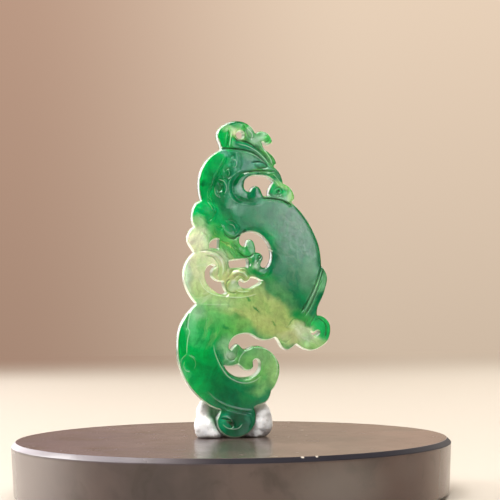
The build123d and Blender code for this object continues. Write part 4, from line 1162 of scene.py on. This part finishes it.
def standNodes():
    group = bpy.data.node_groups.new("turnedStand", "GeometryNodeTree")
    for name in standSizes:
        kind = "NodeSocketInt" if name == "Sides" else "NodeSocketFloat"
        group.interface.new_socket(name, in_out="INPUT", socket_type=kind)
    group.interface.new_socket("Stone", in_out="INPUT", socket_type="NodeSocketMaterial")
    group.interface.new_socket("Geometry", in_out="OUTPUT", socket_type="NodeSocketGeometry")
    entry = group.nodes.new("NodeGroupInput").outputs
    radius, height, taper = entry["Radius"], entry["Height"], entry["Side Taper"]
    baseBevel = entry["Base Bevel"]

    def less(a, b):
        return maths(group, "SUBTRACT", a, b)

    axis, baseEdge = less(0.0, radius), less(0.0, taper)
    baseIn = less(baseEdge, baseBevel)
    topIn = less(0.0, entry["Top Bevel"])
    beltTop = less(height, entry["Top Bevel"])
    support = 0.6 * mm  # short steps beside the bevels hold the flats flat in the shading
    slope = times(group, taper, -0.08)
    profile = [
        (axis, 0.0),
        (less(baseIn, support), 0.0),
        (baseIn, 0.0),
        (baseEdge, baseBevel),
        (less(baseEdge, slope), maths(group, "ADD", baseBevel, support)),
        (slope, less(beltTop, support)),
        (0.0, beltTop),
        (topIn, height),
        (less(topIn, support), height),
        (axis, height),
    ]
    switch = group.nodes.new("GeometryNodeIndexSwitch")
    switch.data_type = "VECTOR"
    while len(switch.index_switch_items) < len(profile):
        switch.index_switch_items.new()
    spots = {"Index": addNode(group, "GeometryNodeInputIndex")[0]}
    for k, (x, y) in enumerate(profile):  # a swept profile's Y points down
        spots[str(k)] = addNode(group, "ShaderNodeCombineXYZ", {}, {"X": x, "Y": times(group, y, -1.0)})[0]
    setSockets(group, switch, spots)
    line = addNode(group, "GeometryNodeMeshLine", {}, {"Count": len(profile)})[0]
    ring = addNode(group, "GeometryNodeCurvePrimitiveCircle", {},
                   {"Resolution": entry["Sides"], "Radius": radius})
    placed = addNode(group, "GeometryNodeSetPosition", {}, {"Geometry": line, "Position": switch.outputs[0]})
    curve = addNode(group, "GeometryNodeMeshToCurve", {}, {"Mesh": placed[0]})
    fillet = addNode(group, "GeometryNodeFilletCurve", {"mode": "POLY"},
                     {"Curve": curve[0], "Count": 4, "Radius": entry["Edge Rounding"], "Limit Radius": True})
    swept = addNode(group, "GeometryNodeCurveToMesh", {}, {"Curve": ring[0], "Profile Curve": fillet[0]})
    closed = addNode(group, "GeometryNodeMergeByDistance", {}, {"Geometry": swept[0], "Distance": 0.002 * mm})
    real = addNode(group, "GeometryNodeRealizeInstances", {}, {"Geometry": closed[0]})
    painted = addNode(group, "GeometryNodeSetMaterial", {}, {"Geometry": real[0], "Material": entry["Stone"]})
    setSockets(group, group.nodes.new("NodeGroupOutput"), {"Geometry": painted[0]})
    return group


def plainMesh(holder, name):  # the holder's mesh as its modifier leaves it; the holder itself goes
    graph = bpy.context.evaluated_depsgraph_get()
    mesh = bpy.data.meshes.new_from_object(holder.evaluated_get(graph), depsgraph=graph)
    bpy.data.objects.remove(holder)
    mesh.name = name
    return mesh


def turnStand(stone):
    holder = newObject("standMaker", bpy.data.meshes.new("standMaker"))
    modifier = holder.modifiers.new("turnedStand", "NODES")
    modifier.node_group = standNodes()
    for item in modifier.node_group.interface.items_tree:
        if item.item_type == "SOCKET" and item.in_out == "INPUT":
            modifier[item.identifier] = stone if item.name == "Stone" else standSizes[item.name]
    mesh = plainMesh(holder, "turnedStand")
    work = bmesh.new()
    work.from_mesh(mesh)
    closedMesh(work, mesh, "stand")
    piece = newObject("turnedStand", mesh)
    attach(piece, "root")
    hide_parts("stand")
    print("stand turned", [round(v / mm, 2) for v in piece.dimensions])


# putty: pressed lumps behind and beside the foot
puttyLumps = {  # percent across and up, mm behind the plate's middle plane, half sizes in mm
    "leftBody": ((19.4, 3.2), 2.1, (2.2, 2.7, 2.6)),
    "leftTop": ((19.4, 7.6), 2.6, (1.7, 2.2, 2.5)),
    "leftToe": ((22.6, 1.4), 1.7, (2.4, 2.3, 1.5)),
    "rightBody": ((54.8, 4.6), 2.1, (2.4, 2.8, 3.1)),
    "rightTop": ((55.4, 7.4), 1.6, (1.8, 2.2, 1.9)),
    "rightToe": ((50.4, 1.6), 2.0, (2.6, 2.3, 1.7)),
    "webHigh": ((24.6, 7.2), 4.1, (2.0, 1.5, 2.7)),
    "web": ((36.0, 2.6), 5.0, (5.0, 1.9, 2.4)),
    "webLeft": ((24.0, 3.2), 4.4, (2.6, 1.8, 2.7)),
    "webRight": ((48.0, 3.6), 4.4, (3.0, 2.0, 2.7)),
}

puttyTouch = {
    "grain": 0.16,          # mm between points
    "smoothing": 14,        # passes
    "dentSize": 0.12,       # mm
    "dents": ((0.55, 1.3, (0, 0, 0)), (1.3, 0.7, (5, 2, 9)), (2.6, 0.5, (1, 7, 4))),  # how fine, share, start
    "clearance": 0.10,      # mm kept from the jade and the stand
    "clearPasses": 3,
    "clearDepth": 3,        # mm inside the jade from where a point is still brought out
}


def pressPutty(white, pendant):
    s = puttyTouch
    work = bmesh.new()
    for (across, up), behind, half in puttyLumps.values():
        x, z = at(across, up)
        made = bmesh.ops.create_icosphere(work, subdivisions=4, radius=mm)
        for vert in made["verts"]:
            vert.co = Vector([c * h for c, h in zip(vert.co, half)]) + Vector((x, behind, z)) * mm
    mesh = bpy.data.meshes.new("puttyLumps")
    work.to_mesh(mesh)
    work.free()
    holder = newObject("puttyLumps", mesh)
    skin = holder.modifiers.new("skin", "REMESH")
    skin.mode = "VOXEL"
    skin.voxel_size = s["grain"] * mm
    mesh = plainMesh(holder, "pressedPutty")
    work = bmesh.new()
    work.from_mesh(mesh)
    for _ in range(s["smoothing"]):
        bmesh.ops.smooth_vert(work, verts=work.verts, factor=0.5,
                              use_axis_x=True, use_axis_y=True, use_axis_z=True)
    work.normal_update()
    for vert in work.verts:
        spot = vert.co / mm
        push = sum(noise.noise(spot * many + Vector(start)) * share for many, share, start in s["dents"])
        vert.co += vert.normal * push * s["dentSize"] * mm
    tree = BVHTree.FromObject(pendant, bpy.context.evaluated_depsgraph_get())
    floor, room = standTop + s["clearance"] * mm, s["clearance"] * mm * 1.2
    for _ in range(s["clearPasses"]):
        for vert in work.verts:
            near, normal, _, _ = tree.find_nearest(vert.co)
            side = (vert.co - near).dot(normal)
            if -s["clearDepth"] * mm < side < room:
                vert.co += normal * (room - side)
            vert.co.z = max(vert.co.z, floor)
    closedMesh(work, mesh, "putty")
    mesh.materials.append(white)
    piece = newObject("pressedPutty", mesh)
    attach(piece, "root")
    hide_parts("putty")
    print("putty pressed", [round(v / mm, 2) for v in piece.dimensions])


# floor, backdrop and lights
studio = {
    "floor": (188, 181, 170),
    "floorFrontShade": (30, 28, 26),
    "wallLeft": (176, 144, 124),
    "wallRight": (219, 197, 174),
    "fadeFrom": 340.0,       # mm behind the stand's axis where the floor begins to blur into the wall
    "floorBehind": 540.0,
    "wallBehind": 620.0,
    "wallHeights": (-600.0, 1400.0),
    "reach": 1500.0,         # mm from the axis to the sides and the front
    "room": (214, 206, 196),
    "roomLight": 0.55,
    "frontDark": 0.02,       # the room in front of the part stays dark
    "roomBehind": (-0.80, 0.10),  # which ways in it are lit: from none to all
    "roomAbove": (0.20, 0.75),
    "wallAcross": (-30.0, 150.0),  # mm
    "wallUp": (-20.0, 400.0),
    "wallLight": (0.86, 1.5),
    "floorLit": (-260.0, -60.0),   # mm, from the painted shade in front to the lit part
}

lamps = {  # place, aim, size, watts and colour, in mm
    "keyLeft": ((-400, 190, 200), (0, 0, 35), (280, 340), 2.4, (1.0, 0.99, 0.97)),
    "leftBack": ((-215, 400, 130), (0, 0, 40), (190, 250), 0.32, (0.96, 0.93, 1.0)),
    "leftRim": ((-104, 402, 116), (0, 0, 40), (76, 220), 0.10, (0.96, 0.96, 1.0)),
    "frontPanel": ((100, -520, 92), (4, 0, 52), (46, 106), 0.050, (0.96, 0.86, 1.0)),
    "frontPanelRight": ((108, -518, 66), (6, 0, 46), (34, 56), 0.012, (0.96, 0.86, 1.0)),
    "frontPanelHigh": ((92, -516, 116), (4, 0, 58), (40, 56), 0.012, (0.96, 0.90, 1.0)),
    "frontHigh": ((-90, -340, 400), (0, 0, 40), (300, 200), 3.3, (1.0, 0.99, 0.97)),
    "topSoft": ((-90, 40, 520), (0, 0, 30), (380, 380), 1.2, (1.0, 0.97, 0.92)),
    "backRight": ((330, 330, 240), (0, 0, 40), (240, 240), 1.0, (1.0, 0.95, 0.88)),
}


def plainSheet(name, corners, material):
    mesh = bpy.data.meshes.new(name)
    mesh.from_pydata([tuple(v * mm for v in c) for c in corners], [], [(0, 1, 2, 3)])
    mesh.materials.append(material)
    sheet = newObject(name, mesh)


def wallGlow(tree, parts):  # a lit wall far out of focus: a soft run of colour from left to right
    (left, right), (low, high) = studio["wallAcross"], studio["wallUp"]
    dim, bright = studio["wallLight"]
    across = ranged(tree, parts["X"], left * mm, right * mm)
    colour = mixed(tree, across, studio["wallLeft"], studio["wallRight"])
    upward = {"Value": parts["Z"], "From Min": low * mm, "From Max": high * mm,
              "To Min": dim, "To Max": bright}
    strength = addNode(tree, "ShaderNodeMapRange", {}, upward)[0]
    return addNode(tree, "ShaderNodeEmission", {}, {"Color": colour, "Strength": strength})[0]


def wallMaterial():
    material, tree, _ = newMaterial("backdrop")
    glow = wallGlow(tree, axes(tree, objectCoords(tree)))
    setSockets(tree, tree.nodes["Material Output"], {"Surface": glow})
    return material


def floorMaterial():  # a pale table, with painted shade towards the front
    material, tree, shader = newMaterial("floor")
    parts = axes(tree, objectCoords(tree))
    shade, light = studio["floorLit"]
    lit = ranged(tree, parts["Y"], shade * mm, light * mm)
    colour = mixed(tree, lit, studio["floorFrontShade"], studio["floor"])
    setSockets(tree, shader, {"Base Color": colour, "Roughness": 0.7})
    fade = ranged(tree, parts["Y"], studio["fadeFrom"] * mm, studio["floorBehind"] * mm)
    sockets = {0: fade, 1: shader.outputs[0], 2: wallGlow(tree, parts)}
    blend = addNode(tree, "ShaderNodeMixShader", {}, sockets)
    setSockets(tree, tree.nodes["Material Output"], {"Surface": blend[0]})
    return material


def placeLamps():
    for name, (place, target, size, power, colour) in lamps.items():
        data = bpy.data.lights.new(name, "AREA")
        data.shape = "RECTANGLE"
        data.size, data.size_y = size[0] * mm, size[1] * mm
        data.energy = power
        data.color = colour
        lamp = newObject(name, data)
        lamp.location = Vector(place) * mm
        lamp.rotation_euler = (Vector(target) - Vector(place)).to_track_quat("-Z", "Y").to_euler()


def buildStudio():
    s = studio
    side, far, back = s["reach"], s["floorBehind"], s["wallBehind"]
    low, high = s["wallHeights"]
    floor = [(-side, -side, 0), (side, -side, 0), (side, far, 0), (-side, far, 0)]
    wall = [(-side, back, low), (side, back, low), (side, back, high), (-side, back, high)]
    plainSheet("floor", floor, floorMaterial())
    plainSheet("backdrop", wall, wallMaterial())
    placeLamps()
    world = bpy.data.worlds.new("world")
    bpy.context.scene.world = world
    world.use_nodes = True
    tree = world.node_tree
    way = axes(tree, addNode(tree, "ShaderNodeTexCoord")["Generated"])
    behind, above = ranged(tree, way["Y"], *s["roomBehind"]), ranged(tree, way["Z"], *s["roomAbove"])
    around = maths(tree, "MAXIMUM", behind, above)
    light = maths(tree, "MULTIPLY_ADD", around, s["roomLight"], s["frontDark"])
    setSockets(tree, tree.nodes["Background"], {"Color": tone(s["room"]), "Strength": light})
    bpy.context.scene.view_settings.view_transform = "Standard"
    print("studio lit")


placeCamera()
buildStudio()
patchGroup = softPatchGroup()
pendant = carvePendant(jadeMaterial(patchGroup))
turnStand(standMaterial(patchGroup))
pressPutty(puttyMaterial(patchGroup), pendant)
